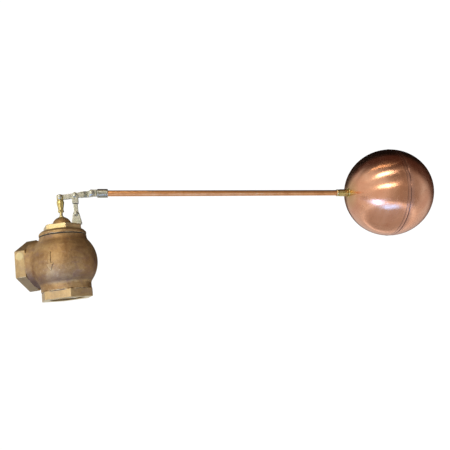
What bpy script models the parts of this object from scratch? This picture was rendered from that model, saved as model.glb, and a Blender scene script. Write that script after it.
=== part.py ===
"""Angle-pattern float valve: a bronze globe body, a stem and disc that close the outlet, a compound
lever, and a copper ball on a long arm.

Metres, +Z up the stem. The world origin is the centre of the inlet's end face, where a pipe holds
the valve. The parts are placed from the valve's own point, where the stem's axis crosses the globe's
centre, and the lever and the arm move in that point's XZ plane, with the ball towards +X.
"""

from math import asin, atan2, cos, hypot, pi, radians, sin, sqrt

import bmesh
import bpy
from mathutils import Matrix, Vector

MM = 0.001
GAP = 0.3 * MM  # between pieces that touch
ROUND = 40  # sides of a large turned piece
MEDIUM_ROUND = 28  # sides of the stem's parts, the rod and its fittings
SMALL_ROUND = 16  # sides of a pin, a hole or a nut's bore
TINY_ROUND = 12  # sides of a cotter's hole
PAST = 5.0 * MM  # how far a cutter or a joined helper runs on beyond a face
LONG_REACH = 20.0 * MM  # half the length of a cutter that goes through a whole piece
EDGE = 0.6 * MM  # bevel on a small turned end

# Body casting
GLOBE_RADIUS = 65.0 * MM
CAVITY_RADIUS = 58.5 * MM
PORT_FLATS = 91.8 * MM  # across the flats of both port hexagons
PORT_BORE = 34.3 * MM  # radius of the 2-1/2 in pipe thread
PORT_DEPTH = 22.0 * MM
THROAT_RADIUS = 30.0 * MM
COLLAR_RADIUS = 49.0 * MM  # round part between the globe and a port hexagon
COLLAR_OVERLAP = 6.0 * MM
COLLAR_CORE = 45.0 * MM  # narrower than the hexagon, which the collar is joined to
COLLAR_SINK = 0.5 * MM
NECK_RADIUS = 46.8 * MM
NECK_BORE = 33.0 * MM
NECK_TOP = 53.4 * MM
OUTLET_FACE = -74.2 * MM
OUTLET_HEX_LENGTH = 17.5 * MM
OUTLET_HEX_TURN = radians(-16.9)
INLET_AZIMUTH = radians(156.0)
INLET_HEIGHT = 4.2 * MM
INLET_REACH = 82.9 * MM
INLET_HEX_LENGTH = 23.3 * MM
BRIDGE_TOP = -42.3 * MM  # face that the seat ring sits on

# Seat, disc and stem
SEAT_FACE = -39.0 * MM
SEAT_BORE = 24.5 * MM
SEAT_FLANGE_RADIUS = 33.5 * MM
LIFT = 7.8 * MM  # disc above the seat in the open pose
DISC_THICKNESS = 5.8 * MM
DISC_RADIUS = 28.0 * MM
HOLDER_RADIUS = 30.5 * MM
HOLDER_PLATE = 5.5 * MM
HOLDER_HUB_RADIUS = 9.0 * MM
HOLDER_HUB = 8.0 * MM
HOLDER_EDGE = 1.5 * MM
DISC_WASHER_RADIUS = 13.0 * MM
DISC_WASHER = 1.6 * MM
DISC_NUT_FLATS = 13.0 * MM
DISC_NUT = 6.0 * MM
STEM_TIP_END = 2.0 * MM  # below the nut
STEM_RADIUS = 3.2 * MM
STEM_BODY_RADIUS = 5.0 * MM
STEM_TIP_RADIUS = 3.8 * MM
STEM_SHOULDER = 57.4 * MM
STEM_TOP = 120.0 * MM

# Bonnet
GASKET = 1.2 * MM
GASKET_INNER = 34.0 * MM
GASKET_OUTER = 46.2 * MM
FLANGE_HEIGHT = 10.0 * MM
FLANGE_CHAMFER = 5.0 * MM
BONNET_TOP = 76.7 * MM
BONNET_FLATS = 68.5 * MM
BONNET_HEX_TURN = radians(-15.2)
SPIGOT_RADIUS = 32.6 * MM
SPIGOT_END = 43.0 * MM
CHAMBER_RADIUS = 27.0 * MM
CHAMBER_TOP = 60.5 * MM
DOME_RADIUS = 19.0 * MM
DOME_TOP = 95.3 * MM
GUIDE_RADIUS = 6.6 * MM
GUIDE_NOSE_RADIUS = 4.9 * MM
GUIDE_TOP = 96.6 * MM
GUIDE_FLANGE_RADIUS = 10.5 * MM
GUIDE_FLANGE = 2.5 * MM
O_RING_HEIGHT = 72.0 * MM
O_RING_WIRE = 1.1 * MM

# Linkage: each pivot as (x, z) from the valve's point
LOWER_PIVOT = (30.0 * MM, 98.3 * MM)
FULCRUM = (30.0 * MM, 138.3 * MM)
EYE = (64.3 * MM, 140.7 * MM)
LEVER_TILT = radians(4.0)
LEVER_ARM = FULCRUM[0] / cos(LEVER_TILT)  # stem pin to fulcrum
STEM_PIN_HEIGHT = FULCRUM[1] - LEVER_ARM * sin(LEVER_TILT)
PIN_RADIUS = 2.8 * MM
PIN_HEAD_RADIUS = 4.6 * MM
PIN_HEAD = 2.4 * MM
COTTER_WIRE = 0.6 * MM
COTTER_SPREAD = 0.7 * MM  # from the pin's centre to each leg
COTTER_LOOP = 2.3 * MM
COTTER_SETBACK = 1.9 * MM  # behind the fork
PIN_TAIL = 2.2 * MM  # behind the cotter
OPEN_PIVOT_CLEARANCE = 0.5 * MM
BAR = 5.0 * MM  # lever's thickness
LEVER_HEIGHT = 11.0 * MM
LEVER_OUTER_HEIGHT = 13.4 * MM
LEVER_GROWTH = (8.0 * MM, 14.0 * MM)  # where the bar grows to its outer height
LEVER_STEP = (18.5 * MM, 23.5 * MM)  # where it steps back
FORK_GAP = BAR + 1.0 * MM
FORK_WIDTH = 12.4 * MM  # over both cheeks
LINK_CHEEK_RADIUS = 6.3 * MM
LINK_EYE = 5.4 * MM
LINK_EDGE = 1.5 * MM
LINK_SHOULDER = 121.0 * MM
LINK_SLOT_FLOOR = 129.0 * MM
SHANK_WIDTH = 9.0 * MM
SHANK_THICKNESS = 6.0 * MM
BRACKET_GAP = 6.8 * MM
BRACKET_WIDTH = 13.8 * MM
BRACKET_BASE = 20.0 * MM
BRACKET_EYE = 6.4 * MM
BRACKET_FLOOR = 5.0 * MM
BRACKET_STUD_RADIUS = 4.7 * MM
BRACKET_STUD = 10.0 * MM
COUPLING_TOP = 142.5 * MM
COUPLING_BOTTOM = 109.6 * MM
COUPLING_RADIUS = 7.4 * MM
COUPLING_WAIST = 5.3 * MM  # radius at its foot
COUPLING_TAPER = 15.0 * MM
COUPLING_SLOT_FLOOR = 128.0 * MM
LOCK_NUT_BOTTOM = 105.0 * MM
LOCK_NUT_FLATS = 10.6 * MM

# Arm: lengths along the rod from the eye's bolt
ARM_DROOP = radians(4.3)
EYE_RADIUS = 7.5 * MM
SOCKET_START = 11.3 * MM
SOCKET_END = 33.3 * MM
SOCKET_RADIUS = 9.5 * MM
SOCKET_LIP = 3.0 * MM
ROD_RADIUS = 6.35 * MM
ROD_BORE = 4.75 * MM
ROD_ENGAGEMENT = 14.0 * MM
ROD_VISIBLE = 517.4 * MM
SPUD_LENGTH = 29.3 * MM
SPUD_RADIUS = 8.3 * MM
SPUD_FLANGE = 3.0 * MM
BALL_RADIUS = 101.6 * MM
SHELL = 0.9 * MM
LAP = 5.0 * MM
BOLT_RADIUS = 3.0 * MM
BOLT_HEAD_RADIUS = 5.8 * MM
BOLT_HEAD = 3.4 * MM
WASHER_RADIUS = 6.2 * MM
WASHER = 1.2 * MM
NUT_FLATS = 10.0 * MM
NUT = 4.6 * MM

SPUD_START = SOCKET_END + ROD_VISIBLE
BALL_CENTRE = SPUD_START + SPUD_LENGTH + sqrt(BALL_RADIUS**2 - SPUD_RADIUS**2)

UPRIGHT = (0.0, 0.0, 0.0)
TURN_TO_X = (0.0, radians(90), 0.0)
TURN_TO_Y = (radians(-90), 0.0, 0.0)


def clear_scene():
    for item in list(bpy.data.objects):
        bpy.data.objects.remove(item, do_unlink=True)


def make_material(name, colour, roughness, metallic=1.0):
    material = bpy.data.materials.new(name)
    material.use_nodes = True
    shader = material.node_tree.nodes["Principled BSDF"]
    shader.inputs["Base Color"].default_value = (*colour, 1.0)
    shader.inputs["Roughness"].default_value = roughness
    shader.inputs["Metallic"].default_value = metallic
    material.diffuse_color = (*colour, 1.0)
    return material


def make_materials():
    return {
        "bronze": make_material("cast_bronze", (0.42, 0.27, 0.13), 0.55),
        "machined": make_material("machined_bronze", (0.72, 0.55, 0.28), 0.35),
        "brass": make_material("turned_brass", (0.72, 0.58, 0.24), 0.28),
        "plated": make_material("zinc_plate", (0.60, 0.61, 0.55), 0.35),
        "copper": make_material("polished_copper", (0.85, 0.45, 0.30), 0.15),
        "tube": make_material("copper_tube", (0.78, 0.40, 0.22), 0.28),
        "steel": make_material("stainless_wire", (0.62, 0.62, 0.60), 0.30),
        "rubber": make_material("black_rubber", (0.03, 0.03, 0.03), 0.75, 0.0),
        "fibre": make_material("gasket_fibre", (0.10, 0.09, 0.08), 0.85, 0.0),
    }


def add_empty(name, location=(0.0, 0.0, 0.0), tilt=0.0, parent=None):
    """A joint's axis runs along its empty's Y; a positive tilt raises the empty's +X end."""
    empty = bpy.data.objects.new(name, None)
    empty.location = location
    empty.rotation_euler = (0.0, -tilt, 0.0)
    empty.parent = parent
    bpy.context.collection.objects.link(empty)
    return empty


def add_object(name, mesh_data, material=None, parent=None, location=(0, 0, 0), turn=(0, 0, 0)):
    """Turns a bmesh into an object whose faces point outwards."""
    bmesh.ops.remove_doubles(mesh_data, verts=mesh_data.verts, dist=1e-7)
    bmesh.ops.recalc_face_normals(mesh_data, faces=mesh_data.faces)
    mesh = bpy.data.meshes.new(name)
    mesh_data.to_mesh(mesh)
    mesh_data.free()
    mesh.shade_smooth()
    mesh.set_sharp_from_angle(angle=radians(35))
    if material:
        mesh.materials.append(material)
    item = bpy.data.objects.new(name, mesh)
    item.location = location
    item.rotation_euler = turn
    item.parent = parent
    bpy.context.collection.objects.link(item)
    return item


def turned_mesh(profile, sides=ROUND):
    """The (radius, height) points turned about Z; a point on the axis becomes one vertex."""
    data = bmesh.new()
    rings = []
    for radius, height in profile:
        count = 1 if radius == 0 else sides
        rings.append(
            [
                data.verts.new((radius * cos(2 * pi * k / sides), radius * sin(2 * pi * k / sides), height))
                for k in range(count)
            ]
        )
    for first, second in zip(rings, rings[1:] + rings[:1], strict=True):
        for k in range(sides):
            corners = [
                first[k % len(first)],
                first[(k + 1) % len(first)],
                second[(k + 1) % len(second)],
                second[k % len(second)],
            ]
            corners = list(dict.fromkeys(corners))
            if len(corners) > 2:
                data.faces.new(corners)
    return data


def prism_mesh(outline, start, end):
    """A flat outline in XY pushed from one height to another."""
    data = bmesh.new()
    low = [data.verts.new((x, y, start)) for x, y in outline]
    high = [data.verts.new((x, y, end)) for x, y in outline]
    data.faces.new(low)
    data.faces.new(high)
    for k in range(len(outline)):
        after = (k + 1) % len(outline)
        data.faces.new((low[k], low[after], high[after], high[k]))
    return data


def plate_mesh(outline, start, end):
    """A flat outline in XZ pushed from one Y to another."""
    data = prism_mesh(outline, -end, -start)
    bmesh.ops.rotate(data, verts=data.verts, cent=(0, 0, 0), matrix=Matrix.Rotation(radians(90), 3, "X"))
    return data


def hexagon(across_flats):
    radius = across_flats / sqrt(3)
    return [(radius * cos(k * pi / 3), radius * sin(k * pi / 3)) for k in range(6)]


def arc(radius, start, end, steps, centre=(0.0, 0.0)):
    """Points from one angle to another, both included, about a centre."""
    angles = [start + (end - start) * k / steps for k in range(steps + 1)]
    return [(centre[0] + radius * cos(a), centre[1] + radius * sin(a)) for a in angles]


def box_mesh(low, high):
    outline = [(low[0], low[1]), (high[0], low[1]), (high[0], high[1]), (low[0], high[1])]
    return prism_mesh(outline, low[2], high[2])


def rod_profile(radius, start, end):
    return [(0.0, start), (radius, start), (radius, end), (0.0, end)]


def ring_profile(inner, outer, start, end):
    return [(inner, start), (outer, start), (outer, end), (inner, end)]


def combine(item, helper, operation):
    """Joins a helper to an object or cuts it away, and hides the helper."""
    modifier = item.modifiers.new(helper.name, "BOOLEAN")
    modifier.operation = operation
    modifier.solver = "EXACT"
    modifier.object = helper
    helper.hide_render = True
    helper.display_type = "WIRE"


def cut(item, helper):
    combine(item, helper, "DIFFERENCE")


def join(item, helper):
    combine(item, helper, "UNION")


def drill(item, name, radius, parent, location=(0, 0, 0), turn=TURN_TO_Y):
    """Drills an object right through, along Y unless told otherwise."""
    data = turned_mesh(rod_profile(radius, -LONG_REACH, LONG_REACH), SMALL_ROUND)
    cut(item, add_object(name, data, None, parent, location, turn))


# --- body, seat and bonnet -------------------------------------------------------------------------


def build_body(root, materials):
    collar_end = OUTLET_FACE + OUTLET_HEX_LENGTH - COLLAR_SINK
    core_end = collar_end - COLLAR_OVERLAP
    top_angle = asin(sqrt(1 - (NECK_RADIUS / GLOBE_RADIUS) ** 2))
    low_angle = -asin(sqrt(1 - (COLLAR_RADIUS / GLOBE_RADIUS) ** 2))
    outside = [(0.0, NECK_TOP), (NECK_RADIUS, NECK_TOP)]
    outside += arc(GLOBE_RADIUS, top_angle, low_angle, 10)
    outside += [(COLLAR_RADIUS, collar_end), (COLLAR_CORE, collar_end)]
    outside += [(COLLAR_CORE, core_end), (0.0, core_end)]
    body = add_object("valve_body", turned_mesh(outside), materials["bronze"], root)

    outlet_hex = prism_mesh(hexagon(PORT_FLATS), OUTLET_FACE, OUTLET_FACE + OUTLET_HEX_LENGTH)
    join(body, add_object("outlet_hexagon", outlet_hex, None, root, turn=(0, 0, OUTLET_HEX_TURN)))

    place = {"parent": root, "location": (0, 0, INLET_HEIGHT), "turn": (0, radians(90), INLET_AZIMUTH)}
    hex_start = INLET_REACH - INLET_HEX_LENGTH
    collar_start = CAVITY_RADIUS - 3 * COLLAR_OVERLAP
    collar_end = hex_start + COLLAR_SINK
    core_end = collar_end + COLLAR_OVERLAP
    collar = [(0.0, collar_start), (COLLAR_RADIUS, collar_start), (COLLAR_RADIUS, collar_end)]
    collar += [(COLLAR_CORE, collar_end), (COLLAR_CORE, core_end), (0.0, core_end)]
    join(body, add_object("inlet_collar", turned_mesh(collar), None, **place))
    inlet_hex = prism_mesh(hexagon(PORT_FLATS), hex_start, INLET_REACH)
    join(body, add_object("inlet_hexagon", inlet_hex, None, **place))

    neck_angle = asin(sqrt(1 - (NECK_BORE / CAVITY_RADIUS) ** 2))
    floor_angle = asin(BRIDGE_TOP / CAVITY_RADIUS)
    inside = [(0.0, NECK_TOP + PAST), (NECK_BORE, NECK_TOP + PAST)]
    inside += arc(CAVITY_RADIUS, neck_angle, floor_angle, 8)
    inside += [(THROAT_RADIUS, BRIDGE_TOP), (THROAT_RADIUS, OUTLET_FACE + PORT_DEPTH)]
    inside += [(PORT_BORE, OUTLET_FACE + PORT_DEPTH), (PORT_BORE, OUTLET_FACE - PAST)]
    inside += [(0.0, OUTLET_FACE - PAST)]
    cut(body, add_object("body_cavity", turned_mesh(inside), None, root))
    step = INLET_REACH - PORT_DEPTH
    bore = [(0.0, INLET_REACH + PAST), (PORT_BORE, INLET_REACH + PAST), (PORT_BORE, step)]
    bore += [(THROAT_RADIUS, step), (THROAT_RADIUS, 0.5 * CAVITY_RADIUS), (0.0, 0.5 * CAVITY_RADIUS)]
    cut(body, add_object("inlet_bore", turned_mesh(bore), None, **place))


def build_seat(root, materials):
    thread_end = OUTLET_FACE + PORT_DEPTH + GAP
    lip = 1.2 * MM
    lip_width = 2.0 * MM
    flange_top = SEAT_FACE - lip
    profile = [
        (SEAT_BORE, thread_end),
        (THROAT_RADIUS - GAP, thread_end),
        (THROAT_RADIUS - GAP, BRIDGE_TOP + GAP),
        (SEAT_FLANGE_RADIUS, BRIDGE_TOP + GAP),
        (SEAT_FLANGE_RADIUS, flange_top),
        (SEAT_BORE + lip_width, flange_top),
        (SEAT_BORE + 0.7 * lip_width, SEAT_FACE),
        (SEAT_BORE + 0.3 * lip_width, SEAT_FACE),
        (SEAT_BORE, flange_top),
    ]
    add_object("seat_ring", turned_mesh(profile), materials["brass"], root)


def build_bonnet(root, materials):
    """The bonnet, the gasket under its flange, and the stem's guide inside it."""
    gasket_bottom = NECK_TOP + GAP
    gasket_top = gasket_bottom + GASKET
    gasket = ring_profile(GASKET_INNER, GASKET_OUTER, gasket_bottom, gasket_top)
    add_object("bonnet_gasket", turned_mesh(gasket), materials["fibre"], root)

    flange_bottom = gasket_top + GAP
    flange_top = flange_bottom + FLANGE_HEIGHT
    bore = GUIDE_RADIUS + GAP
    nose = GUIDE_NOSE_RADIUS + GAP
    dome_bottom = BONNET_TOP - 4 * MM
    shoulder = DOME_TOP - 8 * MM
    rise = DOME_TOP - BONNET_TOP
    steps = 5
    last = asin(sqrt(1 - (nose / DOME_RADIUS) ** 2))
    dome = [(cos(last * k / steps), sin(last * k / steps)) for k in range(steps + 1)]
    dome = [(DOME_RADIUS * across, BONNET_TOP + rise * up) for across, up in dome]
    profile = [
        (CHAMBER_RADIUS, SPIGOT_END),
        (SPIGOT_RADIUS, SPIGOT_END),
        (SPIGOT_RADIUS, flange_bottom),
        (NECK_RADIUS, flange_bottom),
        (NECK_RADIUS, flange_top - FLANGE_CHAMFER),
        (NECK_RADIUS - FLANGE_CHAMFER, flange_top),
        (DOME_RADIUS, flange_top),
        (DOME_RADIUS, dome_bottom),
        *dome,
        (nose, shoulder),
        (bore, shoulder),
        (bore, CHAMBER_TOP),
        (CHAMBER_RADIUS, CHAMBER_TOP),
    ]
    bonnet = add_object("bonnet", turned_mesh(profile), materials["bronze"], root)
    # The wrench hexagon is open in the middle, where the turned dome stands.
    hexagon_ring = prism_mesh(hexagon(BONNET_FLATS), flange_top - 2 * MM, BONNET_TOP)
    wrench = add_object("bonnet_hexagon", hexagon_ring, None, root, turn=(0, 0, BONNET_HEX_TURN))
    core = turned_mesh(rod_profile(DOME_RADIUS - 2 * MM, flange_top - PAST, BONNET_TOP + PAST))
    cut(wrench, add_object("bonnet_core", core, None, root))
    join(bonnet, wrench)
    stud_end = BONNET_TOP - BRACKET_STUD - 1 * MM
    hole = turned_mesh(rod_profile(BRACKET_STUD_RADIUS + GAP, stud_end, BONNET_TOP + PAST), SMALL_ROUND)
    cut(bonnet, add_object("stud_hole", hole, None, root, (LOWER_PIVOT[0], 0, 0)))
    build_guide(root, shoulder, materials)


def build_guide(root, shoulder, materials):
    """A brass guide put in from below, up to the bonnet's shoulder, with a groove for its O-ring."""
    flange_end = CHAMBER_TOP - GAP
    groove = O_RING_WIRE + GAP
    running = STEM_RADIUS + GAP
    guide = [
        (running, flange_end - GUIDE_FLANGE),
        (GUIDE_FLANGE_RADIUS, flange_end - GUIDE_FLANGE),
        (GUIDE_FLANGE_RADIUS, flange_end),
        (GUIDE_RADIUS, flange_end),
        (GUIDE_RADIUS, shoulder - GAP),
        (GUIDE_NOSE_RADIUS, shoulder - GAP),
        (GUIDE_NOSE_RADIUS, GUIDE_TOP - EDGE),
        (GUIDE_NOSE_RADIUS - EDGE, GUIDE_TOP),
        (running, GUIDE_TOP),
        (running, O_RING_HEIGHT + groove),
        (running + 2 * groove, O_RING_HEIGHT + groove),
        (running + 2 * groove, O_RING_HEIGHT - groove),
        (running, O_RING_HEIGHT - groove),
    ]
    add_object("stem_guide", turned_mesh(guide, SMALL_ROUND), materials["brass"], root)
    centre = (running + O_RING_WIRE, O_RING_HEIGHT)
    ring = arc(O_RING_WIRE, 0, 2 * pi * 7 / 8, 7, centre)
    add_object("stem_o_ring", turned_mesh(ring, SMALL_ROUND), materials["rubber"], root)


def build_bracket(root, materials):
    """A clevis whose cheeks narrow from the base to the lower pivot, with a stud into the bonnet."""
    bottom = BONNET_TOP + GAP
    half = BRACKET_BASE / 2
    floor = bottom + BRACKET_FLOOR
    x, z = LOWER_PIVOT
    lean = atan2(half - BRACKET_EYE, z - floor)
    outline = [(x - half, bottom), (x + half, bottom), (x + half, floor)]
    outline += arc(BRACKET_EYE, lean, pi - lean, 12, (x, z))
    outline += [(x - half, floor)]
    side = BRACKET_WIDTH / 2
    plate = plate_mesh(outline, -side, side)
    bracket = add_object("fulcrum_bracket", plate, materials["plated"], root)
    low = (x - 2 * half, -BRACKET_GAP / 2, floor)
    high = (x + 2 * half, BRACKET_GAP / 2, z + 2 * BRACKET_EYE)
    cut(bracket, add_object("bracket_slot", box_mesh(low, high), None, root))
    stud = rod_profile(BRACKET_STUD_RADIUS, bottom - BRACKET_STUD, bottom + BRACKET_FLOOR / 2)
    join(bracket, add_object("bracket_stud", turned_mesh(stud, SMALL_ROUND), None, root, (x, 0, 0)))
    drill(bracket, "bracket_hole", PIN_RADIUS + GAP, root, (x, 0, z))


# --- stem and what it carries ----------------------------------------------------------------------


def build_stem(stem_axis, materials):
    """The stem, and the holder, rubber disc, washer and nut on its lower end."""
    disc_bottom = SEAT_FACE + LIFT
    disc_top = disc_bottom + DISC_THICKNESS
    plate_bottom = disc_top + GAP
    plate_top = plate_bottom + HOLDER_PLATE
    washer_top = disc_bottom - GAP
    washer_bottom = washer_top - DISC_WASHER
    nut_top = washer_bottom - GAP
    nut_bottom = nut_top - DISC_NUT
    tip = nut_bottom - STEM_TIP_END
    hole = STEM_TIP_RADIUS + GAP

    profile = [
        (0.0, tip),
        (STEM_TIP_RADIUS - EDGE, tip),
        (STEM_TIP_RADIUS, tip + EDGE),
        (STEM_TIP_RADIUS, plate_top + GAP),
        (STEM_BODY_RADIUS, plate_top + GAP),
        (STEM_BODY_RADIUS, STEM_SHOULDER),
        (STEM_RADIUS, STEM_SHOULDER),
        (STEM_RADIUS, STEM_TOP),
        (0.0, STEM_TOP),
    ]
    add_object("stem", turned_mesh(profile, SMALL_ROUND), materials["brass"], stem_axis)

    rim = disc_bottom + HOLDER_EDGE
    hub_bore = STEM_BODY_RADIUS + GAP
    hub_top = plate_top + HOLDER_HUB
    holder = [
        (hole, plate_bottom),
        (DISC_RADIUS + GAP, plate_bottom),
        (DISC_RADIUS + GAP, rim),
        (HOLDER_RADIUS, rim),
        (HOLDER_RADIUS, plate_top - HOLDER_EDGE),
        (HOLDER_RADIUS - HOLDER_EDGE, plate_top),
        (HOLDER_HUB_RADIUS, plate_top),
        (HOLDER_HUB_RADIUS, hub_top),
        (hub_bore, hub_top),
        (hub_bore, plate_top),
        (hole, plate_top),
    ]
    add_object("disc_holder", turned_mesh(holder), materials["machined"], stem_axis)
    disc = ring_profile(hole, DISC_RADIUS, disc_bottom, disc_top)
    add_object("seat_disc", turned_mesh(disc), materials["rubber"], stem_axis)
    washer = ring_profile(hole, DISC_WASHER_RADIUS, washer_bottom, washer_top)
    add_object("disc_washer", turned_mesh(washer, MEDIUM_ROUND), materials["machined"], stem_axis)
    nut = prism_mesh(hexagon(DISC_NUT_FLATS), nut_bottom, nut_top)
    nut = add_object("disc_nut", nut, materials["brass"], stem_axis)
    drill(nut, "disc_nut_bore", hole, stem_axis, (0, 0, nut_bottom), UPRIGHT)


def build_coupling(stem_axis, materials):
    """A tapered clevis screwed onto the stem and locked by a thin nut below it."""
    lock_top = COUPLING_BOTTOM - GAP
    lock = prism_mesh(hexagon(LOCK_NUT_FLATS), LOCK_NUT_BOTTOM, lock_top)
    lock = add_object("stem_lock_nut", lock, materials["brass"], stem_axis)
    bore = STEM_RADIUS + GAP
    drill(lock, "lock_nut_bore", bore, stem_axis, (0, 0, lock_top), UPRIGHT)

    bore_end = STEM_TOP + GAP
    profile = [
        (bore, COUPLING_BOTTOM),
        (COUPLING_WAIST - EDGE, COUPLING_BOTTOM),
        (COUPLING_WAIST, COUPLING_BOTTOM + EDGE),
        (COUPLING_WAIST + GAP, COUPLING_BOTTOM + PAST),
        (COUPLING_RADIUS, COUPLING_BOTTOM + COUPLING_TAPER),
        (COUPLING_RADIUS, COUPLING_TOP - 3 * MM),
        (COUPLING_RADIUS - 0.9 * MM, COUPLING_TOP - 0.9 * MM),
        (COUPLING_RADIUS - 3 * MM, COUPLING_TOP),
        (0.0, COUPLING_TOP),
        (0.0, bore_end),
        (bore, bore_end),
    ]
    clevis = turned_mesh(profile, MEDIUM_ROUND)
    coupling = add_object("stem_coupling", clevis, materials["brass"], stem_axis)
    past = 2 * COUPLING_RADIUS
    half = FORK_GAP / 2
    slot = box_mesh((-past, -half, COUPLING_SLOT_FLOOR), (past, half, COUPLING_TOP + past))
    cut(coupling, add_object("coupling_slot", slot, None, stem_axis))
    drill(coupling, "coupling_hole", PIN_RADIUS + GAP, stem_axis, (0, 0, STEM_PIN_HEIGHT))
    add_pin("coupling", stem_axis, (0, STEM_PIN_HEIGHT), 2 * COUPLING_RADIUS, materials)


# --- pins, cotters and the bolt --------------------------------------------------------------------


def add_pin(name, parent, place, width, materials):
    """A headed clevis pin along Y through a fork of the given width, kept by a cotter behind it."""
    front = -width / 2 - GAP
    cotter_y = width / 2 + COTTER_SETBACK
    end = cotter_y + PIN_TAIL
    profile = [
        (0.0, front - PIN_HEAD),
        (0.75 * PIN_HEAD_RADIUS, front - PIN_HEAD),
        (PIN_HEAD_RADIUS, front - 0.55 * PIN_HEAD),
        (PIN_HEAD_RADIUS, front),
        (PIN_RADIUS, front),
        (PIN_RADIUS, end - EDGE),
        (PIN_RADIUS - EDGE, end),
        (0.0, end),
    ]
    location = (place[0], 0, place[1])
    data = turned_mesh(profile, SMALL_ROUND)
    pin = add_object(f"{name}_pin", data, materials["plated"], parent, location, TURN_TO_Y)
    location = (place[0], cotter_y, place[1])
    radius = COTTER_SPREAD + COTTER_WIRE + GAP
    hole = turned_mesh(rod_profile(radius, -LONG_REACH, LONG_REACH), TINY_ROUND)
    cut(pin, add_object(f"{name}_cotter_hole", hole, None, parent, location))
    add_cotter(f"{name}_cotter", parent, location, materials)


def add_cotter(name, parent, location, materials):
    """A split pin: a loop above, two legs down through the pin, and their ends bent apart."""
    spread = COTTER_SPREAD
    loop_height = PIN_RADIUS + 2.6 * MM + COTTER_LOOP
    leg = -PIN_RADIUS - 1.2 * MM
    side = [(spread + 3.2 * MM, leg - 2.0 * MM), (spread + 1.2 * MM, leg - 1.0 * MM), (spread, leg)]
    side += [(spread, PIN_RADIUS + 1.0 * MM)]
    start = -asin(sqrt(1 - (spread / COTTER_LOOP) ** 2))
    path = side + arc(COTTER_LOOP, start, pi - start, 12, (0.0, loop_height))
    path += [(-x, z) for x, z in reversed(side)]
    data = tube_mesh([Vector((x, 0, z)) for x, z in path], COTTER_WIRE, 6)
    add_object(name, data, materials["steel"], parent, location)


def tube_mesh(points, radius, sides):
    """A round wire along points that lie in the XZ plane, with flat ends."""
    data = bmesh.new()
    across = Vector((0, 1, 0))
    rings = []
    for k, point in enumerate(points):
        before = points[max(k - 1, 0)]
        after = points[min(k + 1, len(points) - 1)]
        along = (after - before).normalized()
        outward = along.cross(across)
        ring = []
        for n in range(sides):
            angle = 2 * pi * (n + 0.5) / sides
            ring.append(data.verts.new(point + radius * (cos(angle) * outward + sin(angle) * across)))
        rings.append(ring)
    for first, second in zip(rings, rings[1:]):
        for n in range(sides):
            data.faces.new((first[n], first[(n + 1) % sides], second[(n + 1) % sides], second[n]))
    data.faces.new(rings[0])
    data.faces.new(rings[-1])
    return data


# --- link and lever --------------------------------------------------------------------------------


def build_link(link_axis, materials):
    """The empty is on the lower pivot, so heights here start there."""
    length = FULCRUM[1] - LOWER_PIVOT[1]
    shoulder = LINK_SHOULDER - LOWER_PIVOT[1]
    floor = LINK_SLOT_FLOOR - LOWER_PIVOT[1]
    half_shank = SHANK_WIDTH / 2
    flare = asin(half_shank / LINK_EYE)
    shank = arc(LINK_EYE, flare - 1.5 * pi, 0.5 * pi - flare, 14)
    shank += [(half_shank, shoulder + PAST), (-half_shank, shoulder + PAST)]
    thick = SHANK_THICKNESS / 2
    link = add_object("link", plate_mesh(shank, -thick, thick), materials["plated"], link_axis)
    cheek = LINK_CHEEK_RADIUS
    head = [(-cheek, shoulder + LINK_EDGE), (-cheek + LINK_EDGE, shoulder)]
    head += [(cheek - LINK_EDGE, shoulder), (cheek, shoulder + LINK_EDGE)]
    head += arc(cheek, 0, pi, 14, (0.0, length))
    side = FORK_WIDTH / 2
    join(link, add_object("link_head", plate_mesh(head, -side, side), None, link_axis))
    slot = box_mesh((-2 * cheek, -FORK_GAP / 2, floor), (2 * cheek, FORK_GAP / 2, length + 2 * cheek))
    cut(link, add_object("link_slot", slot, None, link_axis))
    drill(link, "link_high_hole", PIN_RADIUS + GAP, link_axis, (0, 0, length))
    drill(link, "link_low_hole", PIN_RADIUS + GAP, link_axis)
    add_pin("link", link_axis, (0.0, 0.0), BRACKET_WIDTH, materials)
    add_pin("fulcrum", link_axis, (0.0, length), FORK_WIDTH, materials)


def build_lever(lever_axis, materials):
    """The empty is on the fulcrum, with +X along the lever. The outer end steps back beside the eye."""
    reach = hypot(EYE[0] - FULCRUM[0], EYE[1] - FULCRUM[1])
    half = LEVER_HEIGHT / 2
    outer = LEVER_OUTER_HEIGHT / 2
    grow_start, grow_end = LEVER_GROWTH
    outline = arc(outer, -pi / 2, pi / 2, 12, (reach, 0.0))
    outline += [(grow_end, outer), (grow_start, half)]
    outline += arc(half, pi / 2, 3 * pi / 2, 12, (-LEVER_ARM, 0.0))
    outline += [(grow_start, -half), (grow_end, -outer)]
    step_back = BAR / 2 + GAP
    lever_back = BAR / 2 + step_back
    plate = plate_mesh(outline, -BAR / 2, lever_back)
    lever = add_object("lever", plate, materials["plated"], lever_axis)
    step_start, step_end = LEVER_STEP
    past = 2 * reach
    front = [(step_start, -BAR), (step_start, -BAR / 2), (step_end, -BAR / 2 + step_back)]
    front += [(past, -BAR / 2 + step_back), (past, -BAR)]
    front = prism_mesh(front, -2 * outer, 2 * outer)
    cut(lever, add_object("lever_front", front, None, lever_axis))
    back = [(-past, BAR / 2), (step_start, BAR / 2), (step_end, lever_back)]
    back += [(step_end, 2 * BAR), (-past, 2 * BAR)]
    back = prism_mesh(back, -2 * outer, 2 * outer)
    cut(lever, add_object("lever_back", back, None, lever_axis))
    drill(lever, "lever_hole", PIN_RADIUS + GAP, lever_axis)
    drill(lever, "lever_stem_hole", PIN_RADIUS + OPEN_PIVOT_CLEARANCE, lever_axis, (-LEVER_ARM, 0, 0))
    drill(lever, "lever_eye_hole", BOLT_RADIUS + GAP, lever_axis, (reach, 0, 0))
    build_holder_bolt(lever_axis, reach, lever_back, materials)


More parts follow.
